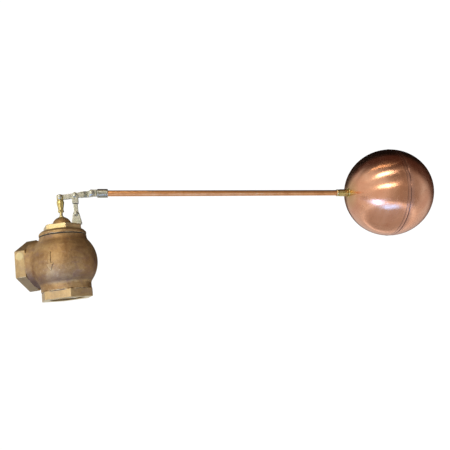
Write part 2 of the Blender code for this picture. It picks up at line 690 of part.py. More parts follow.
def build_holder_bolt(lever_axis, x, lever_back, materials):
    """The bolt through the rod holder's eye and the lever's outer end, with its washer and nut."""
    head_back = -BAR - GAP
    washer_start = lever_back + GAP
    washer_end = washer_start + WASHER
    nut_start = washer_end + GAP
    nut_end = nut_start + NUT
    end = nut_end + 1.5 * MM
    profile = [
        (0.0, head_back - BOLT_HEAD),
        (0.6 * BOLT_HEAD_RADIUS, head_back - BOLT_HEAD),
        (BOLT_HEAD_RADIUS, head_back - 0.5 * BOLT_HEAD),
        (BOLT_HEAD_RADIUS, head_back),
        (BOLT_RADIUS, head_back),
        (BOLT_RADIUS, end - EDGE),
        (BOLT_RADIUS - EDGE, end),
        (0.0, end),
    ]
    place = {"parent": lever_axis, "location": (x, 0, 0), "turn": TURN_TO_Y}
    add_object("holder_bolt", turned_mesh(profile, SMALL_ROUND), materials["plated"], **place)
    hole = BOLT_RADIUS + GAP
    washer = turned_mesh(ring_profile(hole, WASHER_RADIUS, washer_start, washer_end), SMALL_ROUND)
    add_object("holder_washer", washer, materials["plated"], **place)
    nut = prism_mesh(hexagon(NUT_FLATS), nut_start, nut_end)
    nut = add_object("holder_nut", nut, materials["plated"], **place)
    drill(nut, "holder_nut_bore", hole, lever_axis, (x, 0, 0))


# --- arm and float ---------------------------------------------------------------------------------


def build_holder(arm_axis, materials):
    """The empty is on the eye's bolt, with +X along the rod."""
    start = SOCKET_START
    bore = ROD_RADIUS + GAP
    bore_start = SOCKET_END - ROD_ENGAGEMENT - GAP
    lip_start = SOCKET_END - SOCKET_LIP
    chamfer = 2 * EDGE
    profile = [
        (0.0, start),
        (SOCKET_RADIUS - chamfer, start),
        (SOCKET_RADIUS, start + chamfer),
        (SOCKET_RADIUS, lip_start - EDGE),
        (SOCKET_RADIUS - EDGE, lip_start),
        (SOCKET_RADIUS, lip_start + EDGE),
        (SOCKET_RADIUS, SOCKET_END - EDGE),
        (SOCKET_RADIUS - EDGE, SOCKET_END),
        (bore, SOCKET_END),
        (bore, bore_start),
        (0.0, bore_start),
    ]
    socket = turned_mesh(profile, MEDIUM_ROUND)
    holder = add_object("rod_holder", socket, materials["plated"], arm_axis, turn=TURN_TO_X)
    tongue = arc(EYE_RADIUS, pi / 2, 3 * pi / 2, 14)
    tongue += [(start + 2 * EDGE, -EYE_RADIUS), (start + 2 * EDGE, EYE_RADIUS)]
    # The tongue lies in front of the middle plane, and the lever's end behind it.
    tongue = add_object("holder_tongue", plate_mesh(tongue, -BAR, 0.0), None, arm_axis)
    drill(tongue, "tongue_hole", BOLT_RADIUS + GAP, arm_axis)
    join(holder, tongue)


def build_rod(arm_axis, materials):
    """A tube whose ends go into the rod holder and the float's boss."""
    start = SOCKET_END - ROD_ENGAGEMENT
    end = SPUD_START + ROD_ENGAGEMENT
    tube = ring_profile(ROD_BORE, ROD_RADIUS, start, end)
    tube = turned_mesh(tube, MEDIUM_ROUND)
    add_object("float_rod", tube, materials["tube"], arm_axis, turn=TURN_TO_X)


def build_spud(arm_axis, materials):
    """A boss soldered into the ball, with a flange inside the near half shell."""
    bore = ROD_RADIUS + GAP
    flange = SPUD_RADIUS + PAST
    inside = BALL_CENTRE - sqrt((BALL_RADIUS - SHELL) ** 2 - flange**2) + 2 * GAP
    end = inside + SPUD_FLANGE
    profile = [
        (bore, SPUD_START),
        (SPUD_RADIUS - EDGE, SPUD_START),
        (SPUD_RADIUS, SPUD_START + EDGE),
        (SPUD_RADIUS, inside),
        (flange, inside),
        (flange, end),
        (0.0, end),
        (0.0, SPUD_START + ROD_ENGAGEMENT + GAP),
        (bore, SPUD_START + ROD_ENGAGEMENT + GAP),
    ]
    spud = turned_mesh(profile, MEDIUM_ROUND)
    add_object("float_spud", spud, materials["brass"], arm_axis, turn=TURN_TO_X)


def build_ball(arm_axis, materials):
    """Two open half shells. The near half has a lip that laps inside the far half."""
    inner = BALL_RADIUS - SHELL
    lip = inner - 2.5 * GAP  # clear of the far half's facets
    arcs = 8
    hole = asin((SPUD_RADIUS + GAP) / BALL_RADIUS)
    inner_hole = asin((SPUD_RADIUS + GAP) / inner)
    edge = GAP / 2
    outside = [(r, x) for x, r in arc(BALL_RADIUS, pi - hole, pi / 2, arcs)]
    inside = [(r, x) for x, r in arc(inner, pi / 2 + 2 * LAP / inner, pi - inner_hole, arcs)]
    near = outside[:-1] + [(BALL_RADIUS, -edge), (lip, -edge), (lip, LAP), (lip - SHELL, LAP)]
    near += [(lip - SHELL, -LAP)] + inside
    place = {"parent": arm_axis, "location": (BALL_CENTRE, 0, 0), "turn": TURN_TO_X}
    add_object("float_half_near", turned_mesh(near, ROUND), materials["copper"], **place)
    outside = [(r, x) for x, r in arc(BALL_RADIUS, pi / 2, 0, arcs)]
    inside = [(r, x) for x, r in arc(inner, 0, pi / 2, arcs)]
    far = [(BALL_RADIUS, edge)] + outside[1:-1] + [(0.0, BALL_RADIUS), (0.0, inner)]
    far += inside[1:-1] + [(inner, edge)]
    add_object("float_half_far", turned_mesh(far, ROUND), materials["copper"], **place)


def main():
    clear_scene()
    materials = make_materials()
    across = INLET_REACH * cos(INLET_AZIMUTH)
    inlet = Vector((across, INLET_REACH * sin(INLET_AZIMUTH), INLET_HEIGHT))
    root = add_empty("valve", -inlet)
    stem_axis = add_empty("stem_axis", parent=root)
    link_axis = add_empty("link_axis", (LOWER_PIVOT[0], 0, LOWER_PIVOT[1]), 0.0, root)
    lever_axis = add_empty("lever_axis", (FULCRUM[0], 0, FULCRUM[1]), LEVER_TILT, root)
    arm_axis = add_empty("arm_axis", (EYE[0], 0, EYE[1]), -ARM_DROOP, root)

    build_body(root, materials)
    build_seat(root, materials)
    build_bonnet(root, materials)
    build_bracket(root, materials)
    build_stem(stem_axis, materials)
    build_coupling(stem_axis, materials)
    build_link(link_axis, materials)
    build_lever(lever_axis, materials)
    build_holder(arm_axis, materials)
    build_rod(arm_axis, materials)
    build_spud(arm_axis, materials)
    build_ball(arm_axis, materials)


main()
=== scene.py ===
"""Looks of the float valve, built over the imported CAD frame.

Sizes are in millimetres in the part's own frames until a piece is placed. The valve's frame has its
origin where the stem's axis crosses the globe's centre; the lever's, link's and arm's frames start
at their pivots. Most shapes are signed distance fields turned into meshes, which gives cast and
machined edges a real radius; round pieces are turned profiles.
"""

from itertools import product
from math import asin, atan2, cos, hypot, pi, radians, sin, sqrt

import bpy
import numpy as np
from mathutils import Matrix, Vector


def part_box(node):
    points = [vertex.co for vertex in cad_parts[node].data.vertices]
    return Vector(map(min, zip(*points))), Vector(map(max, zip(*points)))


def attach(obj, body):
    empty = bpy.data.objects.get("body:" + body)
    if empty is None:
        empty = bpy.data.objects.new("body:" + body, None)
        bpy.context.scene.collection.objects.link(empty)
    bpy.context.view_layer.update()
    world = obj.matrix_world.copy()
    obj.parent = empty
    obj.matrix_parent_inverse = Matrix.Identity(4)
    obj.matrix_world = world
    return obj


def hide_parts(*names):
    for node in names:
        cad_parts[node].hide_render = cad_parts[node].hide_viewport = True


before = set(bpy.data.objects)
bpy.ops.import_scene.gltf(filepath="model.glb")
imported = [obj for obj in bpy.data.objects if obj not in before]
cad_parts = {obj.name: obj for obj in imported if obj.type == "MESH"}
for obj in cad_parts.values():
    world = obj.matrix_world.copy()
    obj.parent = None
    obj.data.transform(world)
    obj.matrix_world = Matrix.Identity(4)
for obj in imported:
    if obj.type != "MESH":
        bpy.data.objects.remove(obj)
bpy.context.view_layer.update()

MM = 0.001
GLOBE = 65.0
CAVITY = 58.5
PORT_FLATS = 91.8
PORT_BORE = 34.3
PORT_DEPTH = 22.0
THREAD_PITCH = 3.175
THREAD_HEIGHT = 1.5
THROAT = 30.0
COLLAR = 49.0
NECK = 46.8
NECK_TOP = 53.4
OUTLET_FACE = -74.2
OUTLET_HEX = 17.5
OUTLET_TURN = radians(-16.9)
INLET_AZIMUTH = radians(156.0)
INLET_HEIGHT = 4.2
INLET_REACH = 82.9
INLET_HEX = 23.3
BRIDGE_TOP = -42.3
BONNET_BOTTOM = 55.2
FLANGE_TOP = 65.2
BONNET_TOP = 76.7
BONNET_FLATS = 68.5
BONNET_TURN = radians(-15.2)
LOWER_PIVOT = (30.0, 98.3)
FULCRUM = (30.0, 138.3)
EYE = (64.3, 140.7)
LEVER_TILT = radians(4.0)
ARM_DROOP = radians(4.3)
LEVER_ARM = FULCRUM[0] / cos(LEVER_TILT)
LEVER_REACH = hypot(EYE[0] - FULCRUM[0], EYE[1] - FULCRUM[1])
STEM_PIN = FULCRUM[1] - LEVER_ARM * sin(LEVER_TILT)
PIN = 2.8
NUT_TURN = 0.3
PIN_HOLE = 3.1
BOLT_HOLE = 3.3
SPUD_START = 550.7
SPUD_LENGTH = 29.3
SPUD_RADIUS = 8.3
SPUD_SHOULDER = 13.3
BALL = 101.6
SHELL = 0.9
SEAM_GAP = 0.15
BALL_CENTRE = SPUD_START + SPUD_LENGTH + sqrt(BALL**2 - SPUD_RADIUS**2)

# How finely the distance fields are meshed.
BODY_CELL = 1.25
BONNET_CELL = 0.95
PLATE_CELL = 0.5
FORK_CELL = 0.42
NUT_CELL = 0.36

# The stage is in metres; the camera's place is in the valve's frame.
FLOOR_HEIGHT = -0.75
FLOOR_MIDDLE = 0.45
FLOOR_RADIUS = 1.15
FLOOR_SIDES = 96
WARM = (1.0, 0.92, 0.76)
AMBER = (1.0, 0.72, 0.42)
BLUE = (0.13, 0.40, 1.0)
LAVENDER = (0.22, 0.42, 1.0)
CAMERA_LENS = 41.456
CAMERA_PLACE = Vector((97.10, -1091.04, -147.49))
CAMERA_RIGHT = (0.9726, -0.1947, -0.1269)
CAMERA_UP = (0.0885, -0.1945, 0.9769)
CAMERA_BACK = (-0.2149, -0.9614, -0.1719)

stem_low, stem_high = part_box("stem")
HOME = (stem_low + stem_high) / 2
HOME.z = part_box("valve_body")[0].z - OUTLET_FACE * MM


def spot(x=0.0, z=0.0, tilt=0.0):
    """A frame whose origin is at (x, 0, z) in the valve's frame, with its +X end raised by tilt."""
    start = Matrix.Translation(HOME + Vector((x, 0, z)) * MM)
    return start @ Matrix.Rotation(-tilt, 4, "Y") @ Matrix.Scale(MM, 4)


VALVE = spot()
LINK = spot(*LOWER_PIVOT)
LEVER = spot(*FULCRUM, LEVER_TILT)
ARM = spot(*EYE, -ARM_DROOP)
ALONG_X = Matrix.Rotation(radians(90), 4, "Y")
ALONG_Y = Matrix.Rotation(radians(-90), 4, "X")
INLET = Matrix.Translation((0, 0, INLET_HEIGHT)) @ Matrix.Rotation(INLET_AZIMUTH, 4, "Z") @ ALONG_X


# --- distance fields ---


def blend(a, b, reach):
    """The union of two fields with a fillet."""
    share = np.clip(0.5 + 0.5 * (b - a) / reach, 0, 1)
    return b + (a - b) * share - reach * share * (1 - share)


def carve(a, b, reach=0.5):
    """Field a without field b, the new edge a little rounded."""
    return -blend(-a, b, reach)


def corner(a, b, edge):
    """Where two fields overlap, with that edge radius."""
    a, b = a + edge, b + edge
    return np.minimum(np.maximum(a, b), 0) + np.hypot(np.maximum(a, 0), np.maximum(b, 0)) - edge


def disc(p, radius, start, end, edge=0.0):
    across = np.hypot(p[:, 0], p[:, 1]) - radius
    return corner(across, np.abs(p[:, 2] - (start + end) / 2) - (end - start) / 2, edge)


def hexagon(p, flats, start, end, edge, turn=0.0):
    """A hexagonal prism about Z, a corner pointing along its turn."""
    angle = np.arctan2(p[:, 1], p[:, 0]) - turn
    away = np.hypot(p[:, 0], p[:, 1])
    nearest = np.mod(angle, pi / 3) - pi / 6
    x, y = away * np.cos(nearest), away * np.sin(nearest)
    inner = flats / 2 - edge
    side = inner / sqrt(3)
    past = np.hypot(x - inner, np.maximum(np.abs(y) - side, 0))
    flat = np.where((x > inner), past, x - inner) - edge
    return corner(flat, np.abs(p[:, 2] - (start + end) / 2) - (end - start) / 2, edge)


def polygon(x, y, outline):
    """Signed distance to a closed outline in the plane."""
    points = np.array(outline, float)
    nearest = np.full(len(x), 1e9)
    inside = np.zeros(len(x), bool)
    for (ax, ay), (bx, by) in zip(points, np.roll(points, -1, 0), strict=True):
        ex, ey = bx - ax, by - ay
        share = np.clip(((x - ax) * ex + (y - ay) * ey) / (ex * ex + ey * ey), 0, 1)
        nearest = np.minimum(nearest, (x - ax - share * ex) ** 2 + (y - ay - share * ey) ** 2)
        crosses = (ay > y) != (by > y)
        if ey:
            inside ^= crosses & (x < ax + ex * (y - ay) / ey)
    return np.where(inside, -1, 1) * np.sqrt(nearest)


def plate(p, outline, front, back, edge):
    """An outline in XZ that runs from one Y to another."""
    return corner(
        polygon(p[:, 0], p[:, 2], outline), np.abs(p[:, 1] - (front + back) / 2) - (back - front) / 2, edge
    )


def turned_field(p, profile):
    """A solid of revolution about Z from (radius, height) points, the axis side left open."""
    return polygon(np.hypot(p[:, 0], p[:, 1]), p[:, 2], profile)


def hole(p, x, z, radius):
    """A round hole along Y."""
    return np.hypot(p[:, 0] - x, p[:, 2] - z) - radius


def local(p, place):
    """Points seen from a frame placed in theirs."""
    back = np.array(place.inverted())
    return p @ back[:3, :3].T + back[:3, 3]


def smooth(t):
    t = np.clip(t, 0, 1)
    return t * t * (3 - 2 * t)


def arc(radius, start, end, steps, centre=(0.0, 0.0)):
    angles = np.linspace(start, end, steps + 1)
    return [(centre[0] + radius * cos(a), centre[1] + radius * sin(a)) for a in angles]


def net(field, low, high, cell):
    """The field's zero surface by surface nets: vertices drawn onto it, quads, normals and bend."""
    low = np.array(low, float)
    count = np.ceil((np.array(high, float) - low) / cell).astype(int) + 1
    axes = [low[k] + cell * np.arange(count[k]) for k in range(3)]
    points = np.stack(np.meshgrid(*axes, indexing="ij"), -1).reshape(-1, 3)
    value = np.concatenate([field(part) for part in np.array_split(points, 12)]).reshape(count)
    inside = value < 0
    nx, ny, nz = count - 1
    corners = product((0, 1), repeat=3)
    full = sum(inside[i : nx + i, j : ny + j, k : nz + k].astype(int) for i, j, k in corners)
    active = (full > 0) & (full < 8)
    cells = np.argwhere(active)
    index = np.full(active.shape, -1)
    index[active] = np.arange(len(cells))
    total, hits = np.zeros((len(cells), 3)), np.zeros(len(cells))
    for start in product((0, 1), repeat=3):
        for axis in range(3):
            if start[axis]:
                continue
            first = cells + start
            second = first.copy()
            second[:, axis] += 1
            a, b = value[tuple(first.T)], value[tuple(second.T)]
            crossed = (a < 0) != (b < 0)
            share = np.where(crossed, a / np.where(a == b, 1, a - b), 0)
            at = np.array(start, float)[None] + share[:, None] * np.eye(3)[axis]
            total += at * crossed[:, None]
            hits += crossed
    verts = low + cell * (cells + total / hits[:, None])
    quads = []
    for axis in range(3):
        u, v = (axis + 1) % 3, (axis + 2) % 3
        ahead = [slice(None)] * 3
        behind = [slice(None)] * 3
        ahead[axis], behind[axis] = slice(1, None), slice(None, -1)
        edges = np.argwhere(inside[tuple(behind)] != inside[tuple(ahead)])
        edges = edges[(edges[:, u] > 0) & (edges[:, v] > 0)]
        edges = edges[(edges[:, u] < count[u] - 1) & (edges[:, v] < count[v] - 1)]
        ring = []
        for du, dv in ((0, 0), (-1, 0), (-1, -1), (0, -1)):
            at = edges.copy()
            at[:, u] += du
            at[:, v] += dv
            ring.append(index[tuple(at.T)])
        ring = np.stack(ring, -1)
        outward = inside[tuple(edges.T)]
        ring[~outward] = ring[~outward][:, ::-1]
        quads.append(ring)
    for _ in range(4):
        slope = gradient(field, verts, 0.02)
        step = field(verts) / np.maximum((slope**2).sum(1), 0.3)
        verts -= np.clip(step, -0.5 * cell, 0.5 * cell)[:, None] * slope
    slope = gradient(field, verts, 0.25 * cell)
    normals = slope / np.maximum(np.linalg.norm(slope, axis=1), 1e-9)[:, None]
    return verts, np.concatenate(quads), normals, bend(field, verts, 0.8 * cell)


def gradient(field, verts, step):
    sides = [(field(verts + step * e) - field(verts - step * e)) / (2 * step) for e in np.eye(3)]
    return np.stack(sides, -1)


def bend(field, verts, step):
    """How much the surface curves, per millimetre: positive on an outer edge, negative in a crease."""
    around = sum(field(verts + step * e) + field(verts - step * e) for e in np.eye(3))
    return (around - 6 * field(verts)) / step**2


# --- pieces ---


def make_piece(name, verts, faces, body, paint, stands_for=(), place=VALVE, extra=None):
    """A mesh placed in the row frame. Its place attribute keeps the piece's own coordinates.

    The paint is a material and a finish name; the finish name is not used.
    """
    material, slot = paint
    turn = np.array(place)
    world = verts @ turn[:3, :3].T + turn[:3, 3]
    mesh = bpy.data.meshes.new(name)
    mesh.from_pydata(world.tolist(), [], [list(f) for f in faces])
    own = mesh.attributes.new("place", "FLOAT_VECTOR", "POINT")
    own.data.foreach_set("vector", (verts * MM).astype(np.float32).ravel())
    for key, values in (extra or {}).items():
        mesh.attributes.new(key, "FLOAT", "POINT").data.foreach_set("value", values.astype(np.float32))
    mesh.shade_smooth()
    mesh.materials.append(material)
    item = bpy.data.objects.new(name, mesh)
    bpy.context.scene.collection.objects.link(item)
    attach(item, body)
    if stands_for:
        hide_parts(*stands_for)
    return item


def netted(name, field, low, high, cell, body, paint, stands_for=(), place=VALVE, faced_and_highlight=None):
    verts, quads, normals, curve = net(field, low, high, cell)
    extra = {"edge": np.clip(curve, 0, 1.5), "crease": np.clip(-curve, 0, 1.5)}
    if faced_and_highlight:
        extra["faced_and_highlight"] = faced_and_highlight(verts)
    item = make_piece(name, verts, quads, body, paint, stands_for, place, extra)
    turn = np.array(place)[:3, :3] / MM
    item.data.normals_split_custom_set_from_vertices((normals @ turn.T).tolist())
    return item


def softened(profile, radius):
    """A closed profile with its sharp corners rounded; a corner on the axis stays."""
    points = [np.array(p, float) for p in profile]
    made, edges = [], []
    for before, here, after in zip(points[-1:] + points[:-1], points, points[1:] + points[:1], strict=True):
        a, b = before - here, after - here
        la, lb = np.linalg.norm(a), np.linalg.norm(b)
        angle = np.arccos(np.clip(a @ b / (la * lb), -1, 1))
        if here[0] <= 1e-6 or angle > radians(160):
            made.append(here)
            edges.append(0.0)
            continue
        reach = min(radius, 0.4 * la, 0.4 * lb)
        first, last = here + a / la * reach, here + b / lb * reach
        turn = (-a)[0] * b[1] - (-a)[1] * b[0]
        for t in (0.0, 0.5, 1.0):
            made.append((1 - t) ** 2 * first + 2 * t * (1 - t) * here + t * t * last)
            edges.append(1.0 if turn > 0 else -1.0)
    return made, edges


def turned(name, profile, body, paint, stands_for=(), place=VALVE, sides=64, soft=0.4):
    """A closed (radius, height) profile, anticlockwise, turned about the place's Z axis."""
    points, edges = softened(profile, soft) if soft else ([np.array(p, float) for p in profile], None)
    verts, starts = [], []
    for radius, height in points:
        starts.append(len(verts))
        around = [0.0] if radius <= 1e-6 else [2 * pi * k / sides for k in range(sides)]
        verts += [(radius * cos(a), radius * sin(a), height) for a in around]
    faces = []
    total = len(points)
    for n in range(total):
        m = (n + 1) % total
        single_n, single_m = points[n][0] <= 1e-6, points[m][0] <= 1e-6
        if single_n and single_m:
            continue
        for k in range(sides):
            j = (k + 1) % sides
            ring = [starts[n] + (0 if single_n else k), starts[n] + (0 if single_n else j)]
            ring += [starts[m] + (0 if single_m else j), starts[m] + (0 if single_m else k)]
            faces.append(list(dict.fromkeys(ring)))
    marks = edges or [0.0] * total
    spread = [marks[n] for n in range(total) for _ in range(1 if points[n][0] <= 1e-6 else sides)]
    spread = np.array(spread)
    extra = {"edge": np.clip(spread, 0, 1), "crease": np.clip(-spread, 0, 1)}
    item = make_piece(name, np.array(verts), faces, body, paint, stands_for, place, extra)
    weights = item.modifiers.new("flat faces", "WEIGHTED_NORMAL")
    weights.keep_sharp = True
    weights.weight = 80
    return item


def swept(name, points, radius, sides, body, paint, stands_for=(), place=VALVE):
    """A round wire along a path in the XZ plane, its ends closed by small domes."""
    points = np.array(points, float)
    tangents = np.gradient(points, axis=0)
    tangents /= np.linalg.norm(tangents, axis=1)[:, None]
    ends = [(points[0] - tangents[0] * radius * 0.6, tangents[0], 0.55)]
    rows = ends + [(p, t, 1.0) for p, t in zip(points, tangents, strict=True)]
    rows += [(points[-1] + tangents[-1] * radius * 0.6, tangents[-1], 0.55)]
    verts = []
    for point, along, share in rows:
        out = np.cross(along, (0, 1, 0))
        for k in range(sides):
            a = 2 * pi * k / sides
            verts.append(point + share * radius * (cos(a) * out + sin(a) * np.array((0, 1, 0))))
    faces = [list(range(sides))[::-1], [len(verts) - sides + k for k in range(sides)]]
    for n, k in product(range(len(rows) - 1), range(sides)):
        j = (k + 1) % sides
        faces.append([n * sides + k, n * sides + j, (n + 1) * sides + j, (n + 1) * sides + k])
    return make_piece(name, np.array(verts), faces, body, paint, stands_for, place)


# --- materials ---


class Nodes:
    """Short calls that add shader nodes to a tree."""

    def __init__(self, tree):
        self.tree = tree

    def node(self, kind, **settings):
        made = self.tree.nodes.new("ShaderNode" + kind)
        for key, value in settings.items():
            setattr(made, key, value)
        return made

    def feed(self, socket, value):
        if isinstance(value, bpy.types.NodeSocket):
            self.tree.links.new(value, socket)
        else:
            socket.default_value = value

    def maths(self, operation, a, b=0.0):
        made = self.node("Math", operation=operation)
        self.feed(made.inputs[0], a)
        self.feed(made.inputs[1], b)
        return made.outputs[0]

    def times(self, a, b):
        return self.maths("MULTIPLY", a, b)

    def spread(self, value, low, high, start=0.0, end=1.0, shape="LINEAR"):
        """The value's run from low to high, turned into one from start to end and held there."""
        made = self.node("MapRange", interpolation_type=shape)
        self.feed(made.inputs["Value"], value)
        for key, number in (("From Min", low), ("From Max", high), ("To Min", start), ("To Max", end)):
            made.inputs[key].default_value = number
        return made.outputs["Result"]

    def mix(self, share, a, b):
        made = self.node("Mix", data_type="RGBA")
        self.feed(made.inputs[0], share)
        for socket, value in ((made.inputs[6], a), (made.inputs[7], b)):
            self.feed(socket, (*value, 1.0) if isinstance(value, tuple) else value)
        return made.outputs[2]


class Paint(Nodes):
    """A Principled material. Lengths in its patterns are in metres."""

    def __init__(self, name, metallic=1.0):
        self.material = bpy.data.materials.new(name)
        self.material.use_nodes = True
        super().__init__(self.material.node_tree)
        self.shader = self.tree.nodes["Principled BSDF"]
        self.shader.inputs["Metallic"].default_value = metallic
        self.coordinates = self.node("TexCoord").outputs["Object"]

    def own(self):
        """The piece's own coordinates, which keep the turning axis along Z."""
        return self.node("Attribute", attribute_name="place").outputs["Vector"]

    def mark(self, name):
        return self.node("Attribute", attribute_name=name).outputs["Fac"]

    def stretched(self, vector, scale):
        made = self.node("Mapping")
        self.feed(made.inputs["Vector"], vector)
        made.inputs["Scale"].default_value = scale
        return made.outputs["Vector"]

    def noise(self, size, detail=3.0, rough=0.5, warp=0.0, vector=None):
        made = self.node("TexNoise")
        self.feed(made.inputs["Vector"], vector or self.coordinates)
        made.inputs["Scale"].default_value = 1 / size
        made.inputs["Detail"].default_value = detail
        made.inputs["Roughness"].default_value = rough
        made.inputs["Distortion"].default_value = warp
        return made.outputs["Fac"]

    def cells(self, size):
        made = self.node("TexVoronoi", feature="F1")
        self.feed(made.inputs["Vector"], self.coordinates)
        made.inputs["Scale"].default_value = 1 / size
        return made.outputs["Distance"]

    def rings(self, size, detail=2.0):
        """Turning marks: noise that changes only along the piece's axis."""
        return self.noise(size, detail, 0.7, 0.0, self.stretched(self.own(), (0.0, 0.0, 1.0)))

    def facing(self, size):
        """Facing marks: noise that changes only away from the axis."""
        split = self.node("SeparateXYZ")
        self.feed(split.inputs[0], self.own())
        x, y = split.outputs[0], split.outputs[1]
        away = self.maths("SQRT", self.maths("ADD", self.times(x, x), self.times(y, y)))
        join = self.node("CombineXYZ")
        self.feed(join.inputs[0], away)
        return self.noise(size, 2.0, 0.7, 0.0, join.outputs[0])

    def under(self):
        """How far the surface faces down: the mask for painted shade on the undersides."""
        split = self.node("SeparateXYZ")
        self.feed(split.inputs[0], self.node("NewGeometry").outputs["Normal"])
        return self.spread(split.outputs[2], -0.3, -0.75)

    def height(self):
        """Distance along the piece's own axis."""
        split = self.node("SeparateXYZ")
        self.feed(split.inputs[0], self.own())
        return split.outputs[2]

    def ramp(self, value, *stops):
        made = self.node("ValToRGB")
        band = made.color_ramp
        while len(band.elements) < len(stops):
            band.elements.new(0.5)
        for element, (at, colour) in zip(band.elements, stops, strict=True):
            element.position = at
            element.color = (*colour, 1.0)
        self.feed(made.inputs["Fac"], value)
        return made.outputs["Color"]

    def bump(self, height, depth, under=None):
        """depth is how high the pattern's full range stands, in metres."""
        made = self.node("Bump")
        made.inputs["Strength"].default_value = 1.0
        made.inputs["Distance"].default_value = depth
        self.feed(made.inputs["Height"], height)
        if under:
            self.feed(made.inputs["Normal"], under)
        return made.outputs["Normal"]

    def finish(self, colour, roughness, normal):
        self.feed(self.shader.inputs["Base Color"], colour)
        self.feed(self.shader.inputs["Roughness"], roughness)
        self.feed(self.shader.inputs["Normal"], normal)
        return self.material


def cast_bronze():
    """Sand-cast and tumbled: brown patches, violet stains, dirt in the creases, bright worn edges, painted
    shade on the undersides.
    """
    p = Paint("cast_bronze_look", 0.9)
    patch = p.noise(0.045, 4.0, 0.55, 0.6)
    stain = p.noise(0.03, 5.0, 0.6, 1.2, p.stretched(p.coordinates, (1.0, 1.0, 1.6)))
    sand = p.noise(0.0011, 3.0, 0.6)
    pits = p.cells(0.0026)
    tones = (0.3, (0.29, 0.150, 0.062)), (0.5, (0.46, 0.285, 0.125)), (0.72, (0.62, 0.43, 0.20))
    colour = p.ramp(patch, *tones)
    colour = p.mix(p.spread(stain, 0.52, 0.72, 0.0, 0.6), colour, (0.30, 0.18, 0.17))
    mottle = p.noise(0.0055, 4.0, 0.65)
    colour = p.mix(p.spread(mottle, 0.45, 0.25, 0.0, 0.55), colour, (0.20, 0.105, 0.045))
    colour = p.mix(p.spread(mottle, 0.56, 0.74, 0.0, 0.5), colour, (0.72, 0.53, 0.27))
    colour = p.mix(p.spread(sand, 0.55, 0.8, 0.0, 0.35), colour, (0.60, 0.43, 0.24))
    colour = p.mix(p.spread(pits, 0.0, 0.22, 0.45, 0.0), colour, (0.16, 0.095, 0.05))
    uneven = p.spread(p.mark("crease"), 0.02, 0.5), p.spread(p.noise(0.006, 4.0), 0.3, 0.6, 0.35, 1.0)
    dirt = p.times(*uneven)
    colour = p.mix(p.times(dirt, 0.7), colour, (0.13, 0.072, 0.04))
    # Painted shade: surfaces that face down are darkened, as if in shadow.
    colour = p.mix(p.times(p.under(), 0.85), colour, (0.11, 0.07, 0.06))
    worn = p.times(p.spread(p.mark("edge"), 0.12, 0.7), p.spread(p.noise(0.005, 4.0), 0.38, 0.62))
    colour = p.mix(p.times(worn, 0.8), colour, (0.80, 0.62, 0.31))
    # The faced mark is machined metal, and in places a painted highlight: the inlet patch and the bonnet's
    # wrench flats.
    faced_and_highlight = p.mark("faced_and_highlight")
    lines = p.facing(0.0009)
    bright = p.ramp(lines, (0.3, (0.72, 0.58, 0.29)), (0.7, (0.92, 0.80, 0.47)))
    colour = p.mix(p.times(faced_and_highlight, 0.85), colour, bright)
    rough = p.spread(sand, 0.3, 0.7, 0.46, 0.62)
    rough = p.maths("SUBTRACT", rough, p.times(worn, 0.16))
    rough = p.maths("SUBTRACT", rough, p.times(faced_and_highlight, 0.18))
    grain = p.maths("ADD", sand, p.times(p.spread(pits, 0.0, 0.25), 0.7))
    normal = p.bump(p.noise(0.012, 3.0), 0.0009)
    normal = p.bump(p.times(mottle, p.maths("SUBTRACT", 1.0, faced_and_highlight)), 0.0007, normal)
    normal = p.bump(p.times(grain, p.maths("SUBTRACT", 1.0, faced_and_highlight)), 0.00018, normal)
    return p.finish(colour, rough, normal)


def machined_bronze():
    p = Paint("machined_bronze_look")
    blotch = p.noise(0.012, 4.0, 0.6, 0.5)
    lines = p.rings(0.0006)
    colour = p.ramp(blotch, (0.3, (0.55, 0.39, 0.19)), (0.7, (0.72, 0.54, 0.28)))
    colour = p.mix(p.spread(p.mark("crease"), 0.0, 0.6, 0.0, 0.7), colour, (0.14, 0.085, 0.04))
    return p.finish(colour, p.spread(lines, 0.3, 0.7, 0.26, 0.42), p.bump(lines, 0.00003))


def turned_brass():
    """Bright turned brass with a yellow-green tinge and brown settled in its grooves."""
    p = Paint("turned_brass_look")
    lines = p.rings(0.0006)
    blotch = p.noise(0.006, 4.0, 0.6, 0.8)
    tones = (0.3, (0.56, 0.45, 0.14)), (0.55, (0.74, 0.60, 0.24)), (0.75, (0.80, 0.66, 0.32))
    colour = p.ramp(blotch, *tones)
    colour = p.mix(p.spread(lines, 0.62, 0.85, 0.0, 0.5), colour, (0.34, 0.25, 0.08))
    colour = p.mix(p.spread(p.mark("crease"), 0.02, 0.5, 0.0, 0.8), colour, (0.16, 0.115, 0.035))
    colour = p.mix(p.spread(p.mark("edge"), 0.15, 0.9, 0.0, 0.5), colour, (0.93, 0.82, 0.50))
    rough = p.maths("ADD", p.spread(lines, 0.3, 0.7, 0.2, 0.3), p.spread(blotch, 0.4, 0.7, 0.0, 0.08))
    return p.finish(colour, rough, p.bump(lines, 0.00004, p.bump(p.noise(0.0016), 0.00003)))


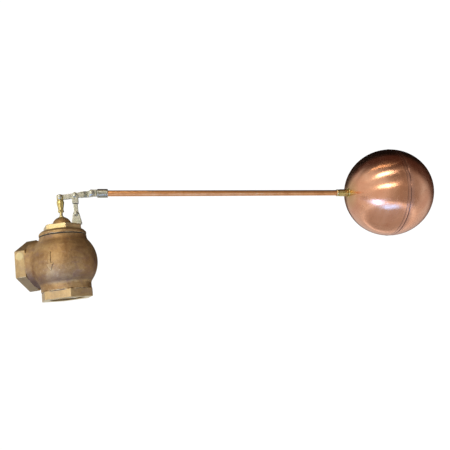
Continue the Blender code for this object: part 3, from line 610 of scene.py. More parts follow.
def zinc_plate():
    """Zinc with a passivated film: grey-green, with straw and lavender clouds and dull rubbed spots."""
    p = Paint("zinc_plate_look")
    cloud = p.noise(0.010, 4.0, 0.55, 1.0)
    film = p.noise(0.006, 3.0, 0.5, 1.5)
    spangle = p.cells(0.0018)
    tones = (0.3, (0.31, 0.34, 0.27)), (0.5, (0.43, 0.45, 0.385)), (0.72, (0.56, 0.555, 0.50))
    colour = p.ramp(cloud, *tones)
    colour = p.mix(p.spread(film, 0.55, 0.75, 0.0, 0.55), colour, (0.52, 0.49, 0.27))
    colour = p.mix(p.spread(film, 0.45, 0.25, 0.0, 0.5), colour, (0.46, 0.41, 0.46))
    colour = p.mix(p.spread(spangle, 0.3, 0.7, 0.0, 0.14), colour, (0.70, 0.72, 0.68))
    colour = p.mix(p.spread(p.mark("crease"), 0.03, 0.6, 0.0, 0.85), colour, (0.10, 0.10, 0.075))
    colour = p.mix(p.spread(p.mark("edge"), 0.2, 1.0, 0.0, 0.55), colour, (0.86, 0.87, 0.82))
    scratch = p.noise(0.0012, 2.0, 0.6, 0.0, p.stretched(p.coordinates, (0.08, 1.0, 1.0)))
    rough = p.maths("ADD", p.spread(cloud, 0.3, 0.7, 0.26, 0.38), p.spread(scratch, 0.55, 0.75, 0.0, 0.14))
    return p.finish(colour, rough, p.bump(scratch, 0.00002, p.bump(p.noise(0.003, 3.0), 0.00005)))


def polished_copper():
    """Spun and buffed copper: rings about the float's axis, warm heat tints by the seam and boss."""
    p = Paint("polished_copper_look")
    rings = p.rings(0.0011, 3.0)
    wide = p.rings(0.012, 2.0)
    cloud = p.noise(0.05, 4.0, 0.55, 0.8)
    smear = p.noise(0.018, 5.0, 0.65, 1.5)
    tones = (0.3, (0.70, 0.335, 0.205)), (0.5, (0.79, 0.41, 0.26)), (0.72, (0.86, 0.50, 0.34))
    colour = p.ramp(cloud, *tones)
    colour = p.mix(p.spread(wide, 0.55, 0.75, 0.0, 0.35), colour, (0.66, 0.30, 0.17))
    colour = p.mix(p.spread(smear, 0.58, 0.75, 0.0, 0.35), colour, (0.60, 0.30, 0.23))
    along = p.height()
    seam = p.spread(p.maths("ABSOLUTE", along), 0.0, 0.011, 1.0, 0.0)
    colour = p.mix(p.times(seam, p.spread(smear, 0.3, 0.6, 0.2, 0.6)), colour, (0.58, 0.36, 0.33))
    joint = p.spread(p.maths("ABSOLUTE", along), 0.0005, 0.0014, 0.85, 0.0)
    colour = p.mix(joint, colour, (0.16, 0.075, 0.055))
    lip = p.spread(p.maths("ABSOLUTE", p.maths("ADD", along, 0.0074)), 0.0004, 0.0013, 0.6, 0.0)
    colour = p.mix(lip, colour, (0.24, 0.13, 0.11))
    boss = p.spread(along, -0.101, -0.093, 1.0, 0.0)
    colour = p.mix(p.times(boss, 0.6), colour, (0.50, 0.33, 0.12))
    colour = p.mix(p.spread(p.mark("crease"), 0.0, 0.8, 0.0, 0.8), colour, (0.22, 0.10, 0.07))
    rough = p.maths("ADD", p.spread(rings, 0.3, 0.7, 0.17, 0.24), p.spread(smear, 0.45, 0.75, 0.0, 0.12))
    rough = p.maths("ADD", rough, p.times(seam, 0.1))
    p.shader.inputs["Anisotropic"].default_value = 0.85
    p.shader.inputs["Anisotropic Rotation"].default_value = 0.25
    around = p.node("Tangent", direction_type="RADIAL", axis="X")
    p.feed(p.shader.inputs["Tangent"], around.outputs[0])
    normal = p.bump(rings, 0.000012, p.bump(wide, 0.00012, p.bump(p.noise(0.03, 2.0), 0.0004)))
    return p.finish(colour, rough, normal)


def copper_tube():
    """Drawn tube: fine lines along its length, handling stains."""
    p = Paint("copper_tube_look")
    drawn = p.noise(0.0007, 3.0, 0.6, 0.0, p.stretched(p.own(), (1.0, 1.0, 0.02)))
    stain = p.noise(0.03, 4.0, 0.6, 1.0)
    colour = p.ramp(stain, (0.3, (0.70, 0.32, 0.13)), (0.5, (0.86, 0.43, 0.19)), (0.75, (0.92, 0.53, 0.27)))
    colour = p.mix(p.spread(drawn, 0.55, 0.8, 0.0, 0.4), colour, (0.50, 0.23, 0.11))
    rough = p.maths("ADD", p.spread(drawn, 0.3, 0.7, 0.22, 0.34), p.spread(stain, 0.45, 0.7, 0.08, 0.0))
    return p.finish(colour, rough, p.bump(drawn, 0.00003))


def steel_wire():
    p = Paint("steel_wire_look")
    cloud = p.noise(0.002, 3.0)
    colour = p.ramp(cloud, (0.3, (0.42, 0.41, 0.37)), (0.7, (0.66, 0.65, 0.60)))
    return p.finish(colour, p.spread(cloud, 0.3, 0.7, 0.25, 0.4), p.bump(cloud, 0.00003))


def soft_black(name, dark, light, rough):
    p = Paint(name, 0.0)
    cloud = p.noise(0.0015, 4.0, 0.6)
    colour = p.ramp(cloud, (0.3, dark), (0.7, light))
    return p.finish(colour, p.spread(cloud, 0.3, 0.7, rough, rough + 0.12), p.bump(cloud, 0.00008))


def pale_floor():
    """Pale paper that turns into plain white at its rim, so that no edge shows."""
    p = Paint("floor_look", 0.0)
    cloud = p.noise(0.4, 3.0)
    colour = p.ramp(cloud, (0.3, (0.84, 0.84, 0.84)), (0.7, (0.88, 0.88, 0.88)))
    away = p.node("VectorMath", operation="LENGTH")
    p.feed(away.inputs[0], p.stretched(p.coordinates, (1.0, 1.0, 0.0)))
    p.shader.inputs["Emission Color"].default_value = (1.0, 1.0, 1.0, 1.0)
    glow = p.spread(away.outputs["Value"], 0.7 * FLOOR_RADIUS, 0.95 * FLOOR_RADIUS, 0.17, 1.05)
    p.feed(p.shader.inputs["Emission Strength"], glow)
    return p.finish(colour, p.spread(cloud, 0.3, 0.7, 0.85, 0.95), p.bump(cloud, 0.0002))


BRONZE = cast_bronze(), "cast_bronze"
MACHINED = machined_bronze(), "machined_bronze"
CUT_THREAD = MACHINED[0], None
BRASS = turned_brass(), "turned_brass"
ZINC = zinc_plate(), "zinc_plate"
COPPER = polished_copper(), "polished_copper"
TUBE = copper_tube(), "copper_tube"
STEEL = steel_wire(), "stainless_wire"
RUBBER = soft_black("rubber_look", (0.015, 0.015, 0.016), (0.032, 0.032, 0.033), 0.6), "black_rubber"
FIBRE = soft_black("fibre_look", (0.05, 0.045, 0.04), (0.11, 0.10, 0.085), 0.8), "gasket_fibre"


# --- body ---

# A painted highlight: centre of a bright patch on the inlet hexagon's front flat, in the inlet's frame.
PAINTED_HIGHLIGHT_PATCH = (-16.0, PORT_FLATS / 2, INLET_REACH - 11.5)


def body_shell(p):
    """The outside of the casting."""
    q = local(p, INLET)
    globe = np.linalg.norm(p, axis=1) - GLOBE
    neck = disc(p, NECK, 20.0, NECK_TOP, 1.2)
    low_collar = disc(p, COLLAR, OUTLET_FACE + OUTLET_HEX - 0.5, -30.0, 1.0)
    side_collar = disc(q, COLLAR, 30.0, INLET_REACH - INLET_HEX + 0.5, 1.0)
    made = blend(blend(globe, neck, 4.0), low_collar, 3.0)
    made = blend(made, side_collar, 4.0)
    low_hex = hexagon(p, PORT_FLATS, OUTLET_FACE, OUTLET_FACE + OUTLET_HEX, 1.3, OUTLET_TURN)
    side_hex = hexagon(q, PORT_FLATS, INLET_REACH - INLET_HEX, INLET_REACH, 1.3)
    return blend(blend(made, low_hex, 1.2), side_hex, 1.2)


def port(p, face, throat_end):
    """A port's hollow along its own axis, which points out of the valve towards +Z."""
    away = np.hypot(p[:, 0], p[:, 1])
    bore = disc(p, PORT_BORE + 0.8, face - PORT_DEPTH, face + 9.0)
    mouth = np.maximum(away - (PORT_BORE + 2.4) - (p[:, 2] - face), face - 3.0 - p[:, 2])
    throat = disc(p, THROAT, throat_end, face - PORT_DEPTH + 1.0)
    return np.minimum(np.minimum(bore, mouth), throat)


def body_field(p):
    globe = np.maximum(np.linalg.norm(p, axis=1) - CAVITY, BRIDGE_TOP - p[:, 2])
    hollow = np.minimum(globe, disc(p, 33.0, 30.0, NECK_TOP + 9.0))
    hollow = np.minimum(hollow, port(-p, -OUTLET_FACE, 30.0))
    hollow = np.minimum(hollow, port(local(p, INLET), INLET_REACH, 25.0))
    return carve(body_shell(p), hollow, 0.8)


def body_faced_and_highlight(verts):
    """Where the casting is machined: both port ends, the neck's rim and the bores. A painted highlight is
    added as a bright patch on the inlet hexagon's front flat.
    """
    q = local(verts, INLET)
    away, side_away = np.hypot(verts[:, 0], verts[:, 1]), np.hypot(q[:, 0], q[:, 1])
    drop, side_drop = verts[:, 2] - OUTLET_FACE, INLET_REACH - q[:, 2]
    low = (drop < 0.5) | ((away < PORT_BORE + 3) & (drop < PORT_DEPTH))
    side = (side_drop < 0.5) | ((side_away < PORT_BORE + 3) & (side_drop < PORT_DEPTH))
    rim = (low | side | (verts[:, 2] > NECK_TOP - 0.4)).astype(float)
    flats = (drop < OUTLET_HEX - 1.0) & (away > 45.5)
    flats |= (side_drop < INLET_HEX - 1.0) & (side_away > 45.5)
    # Painted highlight: this patch is drawn as machined metal on the flat that faces the front.
    patch = smooth((11.0 - np.linalg.norm(q - PAINTED_HIGHLIGHT_PATCH, axis=1)) / 5.0)
    return np.maximum(np.maximum(rim, 0.3 * flats), patch)


def make_thread(name, place):
    """The internal taper thread: one ridge wound up the port, drawn from the mouth inwards."""
    steps = 72
    turns = PORT_DEPTH / THREAD_PITCH
    shape = [(0.0, 0.0), (0.44, 1.0), (0.56, 1.0), (1.0, 0.0)]
    rows = []
    total = int((turns + 1) * steps)
    for k in range(total + 1):
        angle = 2 * pi * k / steps
        lead = min(1.0, k / 20.0, (total - k) / 20.0)
        for share, rise in shape:
            depth = np.clip((k / steps + share - 1.0) * THREAD_PITCH, 0.8, PORT_DEPTH - 0.4)
            radius = PORT_BORE + 0.55 - THREAD_HEIGHT * rise * lead - 0.02 * depth
            rows.append((radius * cos(angle), radius * sin(angle), -depth))
    count = len(shape)
    faces = []
    for k, j in product(range(total), range(count - 1)):
        a = k * count + j
        faces.append([a, a + 1, a + count + 1, a + count])
    roots = [1.0 if j in (0, 3) else 0.0 for _ in range(total + 1) for j in range(count)]
    extra = {"crease": np.array(roots)}
    return make_piece(name, np.array(rows), faces, "valve", CUT_THREAD, place=place, extra=extra)


def make_body():
    low, high = (-97.0, -68.0, OUTLET_FACE - 2), (68.0, 82.0, NECK_TOP + 2)
    cast = BODY_CELL, "valve", BRONZE, ["valve_body"]
    netted("body_casting", body_field, low, high, *cast, faced_and_highlight=body_faced_and_highlight)
    turn_over = Matrix.Rotation(pi, 4, "X")
    make_thread("outlet_thread", VALVE @ Matrix.Translation((0, 0, OUTLET_FACE)) @ turn_over)
    make_thread("inlet_thread", VALVE @ INLET @ Matrix.Translation((0, 0, INLET_REACH)))
    arrow_at, arrow_up = radians(-110.0), radians(-2.0)
    facing_out = Matrix.Rotation(arrow_at, 4, "Z") @ Matrix.Rotation(-arrow_up, 4, "Y")
    outline = [(-2.6, 19.0), (-2.6, -4.0), (-7.6, -4.0), (0.0, -19.0)]
    outline += [(7.6, -4.0), (2.6, -4.0), (2.6, 19.0)]

    def arrow(p):
        """A raised arrow towards the outlet, its sides sloped like a pattern's."""
        away = np.linalg.norm(p, axis=1)
        flat = polygon(p[:, 1], p[:, 2], outline)
        side = np.maximum(flat, 0) * 0.8 + np.minimum(flat, 0) + (away - GLOBE) * 0.35
        return corner(side, away - GLOBE - 1.7, 0.6)

    def held(p):
        return np.maximum(arrow(p), GLOBE - 1.2 - np.linalg.norm(p, axis=1))

    low, high = (55.0, -10.0, -23.0), (69.0, 10.0, 23.0)
    netted("flow_arrow", held, low, high, PLATE_CELL, "valve", BRONZE, place=VALVE @ facing_out)


# --- bonnet and seat ---


def bonnet_field(p):
    away = np.hypot(p[:, 0], p[:, 1])
    flange = disc(p, NECK, BONNET_BOTTOM, FLANGE_TOP, 0.8)
    flange = corner(flange, (away + p[:, 2] - NECK - FLANGE_TOP + 5.0) * 0.707, 0.8)
    wrench = hexagon(p, BONNET_FLATS, 57.0, BONNET_TOP, 1.5, BONNET_TURN)
    wrench = corner(wrench, away + 1.6 * (p[:, 2] - BONNET_TOP) - 36.6, 0.8)
    dome = np.hypot(away, (p[:, 2] - BONNET_TOP) * 19.0 / 18.6) - 19.0
    dome = corner(dome, 60.0 - p[:, 2], 0.5)
    made = blend(blend(flange, wrench, 2.5), dome, 3.0)
    spigot = disc(p, 32.4, 43.0, 58.0, 0.8)
    made = blend(made, spigot, 0.5)
    chamber = disc(p, 27.0, 30.0, 60.5, 1.0)
    guide = disc(p, 5.2, 50.0, 120.0)
    stud = np.hypot(p[:, 0] - LOWER_PIVOT[0], p[:, 1]) - 5.0
    stud = np.maximum(stud, 66.0 - p[:, 2])
    return carve(carve(carve(made, chamber), guide, 0.6), stud, 0.3)


def bonnet_faced_and_highlight(verts):
    """The dome's top is turned where the stem's guide comes through, and so is the spigot. The wrench
    hexagon counts as machined, and its pale flats also stand in for a highlight, a painted highlight.
    """
    away = np.hypot(verts[:, 0], verts[:, 1])
    top = smooth((verts[:, 2] - 88.0) / 5.0) * (away < 17)
    # The wrench flats: machined, and made pale to stand in for the highlight on them, a painted highlight.
    flats = 0.75 * ((verts[:, 2] > FLANGE_TOP - 1.5) & (away > 33.5))
    return np.maximum(np.maximum(top, flats), (verts[:, 2] < BONNET_BOTTOM - 0.4).astype(float))


def make_bonnet():
    low, high = (-49.0, -49.0, 41.5), (49.0, 49.0, 98.0)
    cast = BONNET_CELL, "valve", BRONZE, ["bonnet"]
    netted("bonnet_casting", bonnet_field, low, high, *cast, faced_and_highlight=bonnet_faced_and_highlight)
    gasket = [(34.2, 53.7), (46.0, 53.7), (46.3, 54.3), (46.0, 54.9), (34.2, 54.9)]
    turned("gasket_ring", gasket, "valve", FIBRE, ["bonnet_gasket"], sides=96, soft=0.2)
    guide = [(3.5, 57.7), (10.5, 57.7), (10.5, 60.2), (6.6, 60.2), (6.6, 87.0), (4.9, 87.0), (4.9, 96.0)]
    guide += [(4.3, 96.6), (3.5, 96.6), (3.5, 73.4), (6.3, 73.4), (6.3, 70.6), (3.5, 70.6)]
    turned("stem_guide_bush", guide, "valve", BRASS, ["stem_guide"], soft=0.25)
    ring = arc(1.1, 0, 2 * pi * 15 / 16, 15, (4.6, 72.0))
    turned("stem_seal_ring", ring, "valve", RUBBER, ["stem_o_ring"], sides=48, soft=0)
    seat = [(24.5, -51.9), (29.7, -51.9), (29.7, -42.0), (33.5, -42.0), (33.5, -40.2), (26.5, -40.2)]
    seat += [(25.9, -39.0), (25.1, -39.0), (24.5, -40.2)]
    turned("seat_insert", seat, "valve", BRASS, ["seat_ring"], sides=96, soft=0.25)


# --- stem ---


def make_stem():
    stem = [(0.0, -42.7), (3.2, -42.7), (3.8, -42.1), (3.8, -19.3), (5.0, -19.3), (5.0, 57.4), (3.2, 57.4)]
    stem += [(3.2, 120.0), (0.0, 120.0)]
    turned("stem_rod", stem, "stem_assembly", BRASS, ["stem"], soft=0.3)
    holder = [(4.1, -25.1), (28.3, -25.1), (28.3, -29.7), (30.5, -29.7), (30.5, -21.1), (29.0, -19.6)]
    holder += [(9.0, -19.6), (9.0, -11.6), (5.3, -11.6), (5.3, -19.6), (4.1, -19.6)]
    turned("disc_carrier", holder, "stem_assembly", MACHINED, ["disc_holder"], sides=96)
    disc_shape = [(4.1, -31.2), (28.0, -31.2), (28.0, -25.4), (4.1, -25.4)]
    turned("rubber_disc", disc_shape, "stem_assembly", RUBBER, ["seat_disc"], sides=96, soft=0.5)
    washer = [(4.1, -33.1), (13.0, -33.1), (13.0, -31.5), (4.1, -31.5)]
    turned("disc_plate_washer", washer, "stem_assembly", MACHINED, ["disc_washer"], soft=0.3)
    make_nut("disc_end_nut", 13.0, -39.4, -33.4, 4.1, "stem_assembly", BRASS, "disc_nut")
    make_nut("stem_jam_nut", 10.6, 105.0, 109.3, 3.5, "stem_assembly", BRASS, "stem_lock_nut")

    profile = [(-9.0, 109.6), (4.7, 109.6), (5.3, 110.2), (5.7, 114.6), (7.4, 124.6), (7.4, 139.5)]
    profile += [(6.5, 141.6), (4.4, 142.5), (-9.0, 142.5)]

    def clevis(p):
        """A tapered barrel whose forked head is milled narrower above a small shoulder."""
        made = turned_field(p, profile)
        head = 1.0 - smooth((p[:, 2] - 129.6) / 0.9)
        made = corner(made, np.abs(p[:, 0]) - 6.5 - 3.0 * head, 0.4)
        groove = np.hypot(np.hypot(p[:, 0], p[:, 1]) - 7.5, p[:, 2] - 130.2) - 0.9
        made = carve(made, groove, 0.3)
        ring = np.hypot(np.hypot(p[:, 0], p[:, 1]) - 5.7, p[:, 2] - 113.2) - 0.5
        made = carve(made, ring, 0.2)
        slot = np.maximum(np.abs(p[:, 1]) - 3.0, 128.0 - p[:, 2])
        made = carve(made, slot, 0.5)
        made = carve(made, disc(p, 3.5, 100.0, 120.3), 0.3)
        return carve(made, hole(p, 0, STEM_PIN, PIN_HOLE), 0.4)

    low, high = (-9, -9, 108.5), (9, 9, 144.0)
    netted("stem_clevis", clevis, low, high, FORK_CELL, "stem_assembly", BRASS, ["stem_coupling"])
    make_pin("coupling", "stem_assembly", spot(0, STEM_PIN), 14.8)


def make_nut(name, flats, start, end, bore, body, paint, node, place=VALVE):
    """A hexagon nut, both faces chamfered at the corners and at the bore."""
    middle, half = (start + end) / 2, (end - start) / 2

    def field(p):
        away = np.hypot(p[:, 0], p[:, 1])
        up = np.abs(p[:, 2] - middle)
        made = hexagon(p, flats, start, end, 0.25, NUT_TURN)
        made = corner(made, away + 1.7 * (up - half) - 0.545 * flats, 0.2)
        made = carve(made, away - bore, 0.2)
        return carve(made, away - bore - 0.8 + (half - up), 0.2)

    reach = 0.62 * flats
    low, high = (-reach, -reach, start - 1), (reach, reach, end + 1)
    netted(name, field, low, high, NUT_CELL, body, paint, [node], place)


def make_pin(name, body, at, width):
    """A headed clevis pin along Y with a split pin behind the fork."""
    front, behind = -width / 2 - 0.3, width / 2 + 1.9
    dome = [(4.6 * cos(t), front - 1.0 - 1.4 * sin(t)) for t in np.linspace(radians(88), 0, 7)]
    profile = [(0.0, front - 2.4), *dome, (4.6, front), (PIN, front), (PIN, behind + 1.6)]
    profile += [(PIN - 0.6, behind + 2.2), (0.0, behind + 2.2)]
    turned(f"{name}_headed_pin", profile, body, ZINC, [f"{name}_pin"], at @ ALONG_Y, 48, 0.25)
    spread, leg, loop = 0.7, -PIN - 1.2, 2.3
    side = [(spread + 3.2, leg - 2.0), (spread + 1.2, leg - 1.0), (spread, leg), (spread, PIN + 1.0)]
    start = -asin(sqrt(1 - (spread / loop) ** 2))
    path = side + arc(loop, start, pi - start, 24, (0.0, PIN + 2.6 + loop))
    path += [(-x, z) for x, z in reversed(side)]
    path = rounded_path([(x, 0.0, z) for x, z in path])
    behind_it = at @ Matrix.Translation((0, behind, 0))
    swept(f"{name}_split_pin", path, 0.6, 10, body, STEEL, [f"{name}_cotter"], behind_it)


def rounded_path(points):
    """Cuts each corner of a path three times over, keeping its ends."""
    path = np.array(points, float)
    for _ in range(3):
        a, b = path[:-1], path[1:]
        inner = np.stack([0.75 * a + 0.25 * b, 0.25 * a + 0.75 * b], 1).reshape(-1, 3)
        path = np.concatenate([path[:1], inner, path[-1:]])
    return path


# --- bracket, link and lever ---


def make_bracket():
    x, z = LOWER_PIVOT
    bottom, floor, half, eye = 77.0, 82.0, 10.0, 6.4
    lean = atan2(half - eye, z - floor)
    outline = [(x - half, bottom), (x + half, bottom), (x + half, floor)]
    outline += arc(eye, lean, pi - lean, 24, (x, z)) + [(x - half, floor)]

    def field(p):
        made = plate(p, outline, -6.9, 6.9, 0.9)
        slot = np.maximum(np.abs(p[:, 1]) - 3.4, floor - p[:, 2])
        made = carve(made, slot, 0.8)
        stud = np.maximum(np.hypot(p[:, 0] - x, p[:, 1]) - 4.7, np.abs(p[:, 2] - 73.0) - 6.0)
        made = blend(made, stud, 0.3)
        return carve(made, hole(p, x, z, PIN_HOLE), 0.4)

    low, high = (x - 12, -8.5, 65.5), (x + 12, 8.5, 107)
    netted("fulcrum_clevis", field, low, high, PLATE_CELL, "valve", ZINC, ["fulcrum_bracket"])


def make_link():
    length = FULCRUM[1] - LOWER_PIVOT[1]
    shoulder, floor = 121.0 - LOWER_PIVOT[1], 129.0 - LOWER_PIVOT[1]
    flare = asin(4.5 / 5.4)
    shank = arc(5.4, flare - 1.5 * pi, 0.5 * pi - flare, 24)
    shank += [(4.5, shoulder + 4.0), (-4.5, shoulder + 4.0)]
    head = [(-6.3, shoulder + 1.2), (-5.1, shoulder), (5.1, shoulder), (6.3, shoulder + 1.2)]
    head += arc(6.3, 0, pi, 24, (0.0, length))

    def field(p):
        made = plate(p, shank, -3.0, 3.0, 0.8)
        made = blend(made, plate(p, head, -6.2, 6.2, 0.8), 0.7)
        slot = np.maximum(np.abs(p[:, 1]) - 3.0, floor - p[:, 2])
        made = carve(made, slot, 0.6)
        made = carve(made, hole(p, 0, 0, PIN_HOLE), 0.4)
        return carve(made, hole(p, 0, length, PIN_HOLE), 0.4)

    low, high = (-8, -8, -7), (8, 8, length + 8)
    netted("fork_link", field, low, high, FORK_CELL, "link_assembly", ZINC, ["link"], LINK)
    make_pin("link", "link_assembly", LINK, 13.8)
    make_pin("fulcrum", "link_assembly", spot(*FULCRUM), 12.4)


def make_lever():
    half, outer, back = 5.5, 6.7, 2.8
    outline = arc(outer, -pi / 2, pi / 2, 24, (LEVER_REACH, 0.0)) + [(14.0, outer), (8.0, half)]
    outline += arc(half, pi / 2, 3 * pi / 2, 24, (-LEVER_ARM, 0.0)) + [(8.0, -half), (14.0, -outer)]

    def field(p):
        """A flat bar that steps back beside the rod holder's eye."""
        set_back = back * np.clip((p[:, 0] - 18.5) / 5.0, 0, 1)
        thick = (np.abs(p[:, 1] - set_back) - 2.5) * np.where(np.abs(p[:, 0] - 21.0) < 2.5, 0.87, 1.0)
        made = corner(polygon(p[:, 0], p[:, 2], outline), thick, 0.7)
        made = carve(made, hole(p, 0, 0, PIN_HOLE), 0.4)
        made = carve(made, hole(p, -LEVER_ARM, 0, BOLT_HOLE), 0.4)
        return carve(made, hole(p, LEVER_REACH, 0, BOLT_HOLE), 0.4)

    low, high = (-38, -4.5, -8.5), (LEVER_REACH + 9, 7.5, 8.5)
    netted("lever_bar", field, low, high, PLATE_CELL, "lever_assembly", ZINC, ["lever"], LEVER)
    at = LEVER @ Matrix.Translation((LEVER_REACH, 0, 0)) @ ALONG_Y
    dome = [(5.8 * cos(t), -6.6 - 2.1 * sin(t)) for t in np.linspace(radians(88), 0, 9)]
    bolt = [(0.0, -8.7), *dome, (5.8, -5.3), (3.0, -5.3), (3.0, 12.7), (2.4, 13.3), (0.0, 13.3)]
    turned("holder_screw", bolt, "lever_assembly", ZINC, ["holder_bolt"], at, 48, 0.25)
    washer = [(3.3, 5.6), (6.2, 5.6), (6.2, 6.8), (3.3, 6.8)]
    turned("holder_plain_washer", washer, "lever_assembly", ZINC, ["holder_washer"], at, 48, 0.25)
    make_nut("holder_hex_nut", 10.0, 7.1, 11.7, 3.3, "lever_assembly", ZINC, "holder_nut", at)


# --- arm and float ---


def make_arm():
    start, end = 11.3, 33.3
    profile = [(-12.0, start), (8.3, start), (9.5, start + 1.2), (9.5, 29.4), (8.9, 29.8), (8.9, 30.2)]
    profile += [(9.5, 30.7), (9.5, end - 0.6), (8.9, end), (-12.0, end)]
    tongue = arc(7.5, pi / 2, 3 * pi / 2, 24) + [(start + 2.0, -7.5), (start + 2.0, 7.5)]

    def field(p):
        """The socket the rod goes into, and the flat eye in front of the lever's end."""
        socket = polygon(np.hypot(p[:, 1], p[:, 2]), p[:, 0], profile)
        made = blend(socket, plate(p, tongue, -5.0, 0.0, 0.7), 1.2)
        bore = np.maximum(np.hypot(p[:, 1], p[:, 2]) - 6.65, 18.9 - p[:, 0])
        made = carve(made, bore, 0.6)
        return carve(made, hole(p, 0, 0, BOLT_HOLE), 0.4)

    low, high = (-9, -11, -11), (35, 11, 11)
    netted("rod_socket", field, low, high, PLATE_CELL, "float_arm", ZINC, ["rod_holder"], ARM)
    along = ARM @ ALONG_X
    rod_start, rod_end = 19.3, SPUD_START + 14.0
    count = 40
    outside = [(6.35, rod_start + (rod_end - rod_start) * k / count) for k in range(count + 1)]
    tube = [(4.75, rod_end), (4.75, rod_start)]
    turned("float_tube", tube[1:] + outside + tube[:1], "float_arm", TUBE, ["float_rod"], along, 48, 0.2)
    inside = BALL_CENTRE - sqrt((BALL - SHELL) ** 2 - SPUD_SHOULDER**2) + 0.6
    spud = [(0.0, inside + 3.0), (0.0, SPUD_START + 14.3), (6.65, SPUD_START + 14.3), (6.65, SPUD_START)]
    spud += [(7.2, SPUD_START), (8.0, SPUD_START + 0.8), (8.0, SPUD_START + 2.4), (7.4, SPUD_START + 3.0)]
    spud += [(7.7, SPUD_START + 4.2), (SPUD_RADIUS, SPUD_START + 10.0), (SPUD_RADIUS, SPUD_START + 20.0)]
    spud += [(7.8, SPUD_START + 25.0), (SPUD_RADIUS, inside)]
    spud += [(SPUD_SHOULDER, inside), (SPUD_SHOULDER, inside + 3.0)]
    turned("float_boss", spud, "float_arm", BRASS, ["float_spud"], along, 64, 0.3)
    make_ball(along @ Matrix.Translation((0, 0, BALL_CENTRE)))


def make_ball(at):
    """Two spun shells. The near one has a rolled lip at the seam and a solder fillet round the boss."""
    inner = BALL - SHELL

    def skin(first, last, lip):
        """The outside from one angle to another: it sinks at the seam, and a lip may stand beside it."""
        points = []
        for angle in np.linspace(first, last, 91):
            from_seam = (angle - pi / 2) * BALL
            lift = lip * np.exp(-(((from_seam - 5.2) / 0.9) ** 2)) - 0.3 * np.exp(-((from_seam / 0.8) ** 2))
            points.append(((BALL + lift) * sin(angle), (BALL + lift) * cos(angle)))
        return points

    opening = asin(8.6 / BALL)
    near = skin(pi - opening, pi / 2, 0.35)
    near[-1] = (near[-1][0], -SEAM_GAP)
    near += [(inner - 0.75, -SEAM_GAP), (inner - 0.75, 5.0), (inner - 1.65, 5.0), (inner - 1.65, -5.0)]
    near += [(r, x) for x, r in arc(inner, pi / 2 + 0.1, pi - opening, 40)]
    turned("float_shell_near", near, "float_arm", COPPER, ["float_half_near"], at, 160, 0)
    far = skin(pi / 2, 0.0, 0.0)
    far[0] = (far[0][0], SEAM_GAP)
    far[-1] = (0.0, BALL)
    inside = [(r, x) for x, r in arc(inner, 0, pi / 2, 40)]
    inside[0] = (0.0, inner)
    far += [*inside[:-1], (inner, SEAM_GAP)]
    turned("float_shell_far", far, "float_arm", COPPER, ["float_half_far"], at, 160, 0)
    ring = arc(1.4, -pi / 2, pi, 9, (9.3, -sqrt(BALL**2 - 9.3**2) - 0.1))
    turned("solder_fillet", ring, "float_arm", BRASS, place=at, sides=64, soft=0)


# --- stage ---


def add_light(name, location, target, size, power, colour):
    data = bpy.data.lights.new(name, "AREA")
    data.shape = "RECTANGLE"
    data.size, data.size_y = size
    data.energy = power
    data.color = colour
    item = bpy.data.objects.new(name, data)
    item.location = location
    item.rotation_euler = (Vector(target) - Vector(location)).to_track_quat("-Z", "Y").to_euler()
    item.visible_camera = False
    bpy.context.scene.collection.objects.link(item)


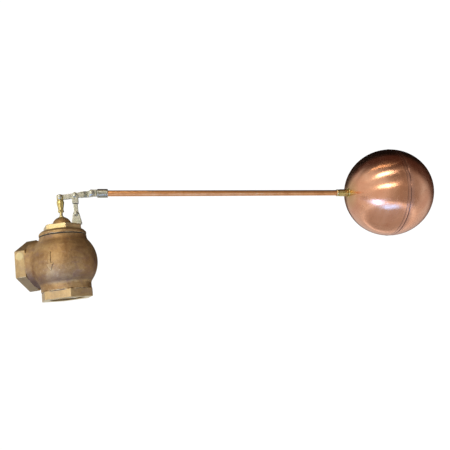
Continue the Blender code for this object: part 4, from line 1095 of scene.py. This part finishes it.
def set_world():
    """White to the eye. The metal mirrors a dim room, a pale backdrop and a dark red and black corner."""
    world = bpy.data.worlds.new("studio")
    world.use_nodes = True
    world.node_tree.nodes.clear()
    sky = Nodes(world.node_tree)
    way = sky.node("TexCoord").outputs["Generated"]

    def towards(direction, low, high):
        """How far a direction leans towards this one, from 0 at low to 1 at high."""
        dot = sky.node("VectorMath", operation="DOT_PRODUCT")
        sky.feed(dot.inputs[0], way)
        dot.inputs[1].default_value = Vector(direction).normalized()
        return sky.spread(dot.outputs["Value"], low, high, shape="SMOOTHSTEP")

    room = sky.mix(towards((0, 0, 1), -0.1, 0.85), (0.42, 0.36, 0.29), (0.13, 0.09, 0.07))
    room = sky.mix(towards((1, -0.35, -0.15), 0.35, 0.8), room, (0.36, 0.32, 0.29))
    shown = sky.mix(towards((0.51, 0.86, 0), -0.12, 0.12), room, (0.70, 0.69, 0.68))
    shown = sky.mix(towards((-1, -0.3, 0.1), 0.45, 0.8), shown, (0.85, 0.82, 0.76))
    shown = sky.mix(towards((0.5, 0.45, 0.72), 0.40, 0.60), shown, (0.07, 0.032, 0.024))
    shown = sky.mix(towards((0.40, 0.72, 0.57), 0.68, 0.80), shown, (0.006, 0.005, 0.005))
    mirrored, seen = sky.node("Background"), sky.node("Background")
    sky.feed(mirrored.inputs["Color"], shown)
    seen.inputs["Color"].default_value = (1.0, 1.0, 1.0, 1.0)
    seen.inputs["Strength"].default_value = 1.05
    either, out = sky.node("MixShader"), sky.node("OutputWorld")
    sky.feed(either.inputs["Fac"], sky.node("LightPath").outputs["Is Camera Ray"])
    sky.feed(either.inputs[1], mirrored.outputs[0])
    sky.feed(either.inputs[2], seen.outputs[0])
    sky.feed(out.inputs["Surface"], either.outputs[0])
    bpy.context.scene.world = world


def make_stage():
    mesh = bpy.data.meshes.new("floor")
    last = FLOOR_SIDES - 1
    rim = [(x, y, FLOOR_HEIGHT) for x, y in arc(FLOOR_RADIUS, 0, 2 * pi * last / FLOOR_SIDES, last)]
    mesh.from_pydata(rim, [], [tuple(range(FLOOR_SIDES))])
    mesh.materials.append(pale_floor())
    floor = bpy.data.objects.new("floor", mesh)
    floor.location = (FLOOR_MIDDLE, 0.0, 0.0)
    bpy.context.scene.collection.objects.link(floor)
    set_world()
    add_light("ceiling_strip", (-0.74, -2.67, 2.65), (0.6, 0.0, 0.05), (2.3, 0.55), 27.0, WARM)
    add_light("front_strip", (-1.70, -4.30, 0.72), (0.5, 0.0, 0.05), (2.8, 0.7), 42.0, WARM)
    add_light("high_strip", (0.1, -0.9, 2.3), (0.8, 0.0, 0.1), (1.6, 0.12), 2.2, AMBER)
    add_light("cool_low_right", (0.50, -0.60, -0.60), (0.8, 0.0, 0.05), (0.5, 0.16), 1.2, BLUE)
    add_light("cool_low_left", (-0.45, -0.65, -0.66), (0.08, 0.0, 0.0), (0.6, 0.4), 6.5, LAVENDER)


def make_camera():
    data = bpy.data.cameras.new("camera")
    data.lens = CAMERA_LENS
    data.sensor_width = 36.0
    data.clip_end = 60.0
    item = bpy.data.objects.new("camera", data)
    turn = Matrix((CAMERA_RIGHT, CAMERA_UP, CAMERA_BACK)).transposed()
    item.matrix_world = Matrix.Translation(HOME + CAMERA_PLACE * MM) @ turn.to_4x4()
    bpy.context.scene.collection.objects.link(item)
    bpy.context.scene.camera = item


make_body()
make_bonnet()
make_bracket()
make_stem()
make_link()
make_lever()
make_arm()
make_stage()
make_camera()
bpy.context.scene.view_settings.view_transform = "Standard"

bpy.context.view_layer.update()
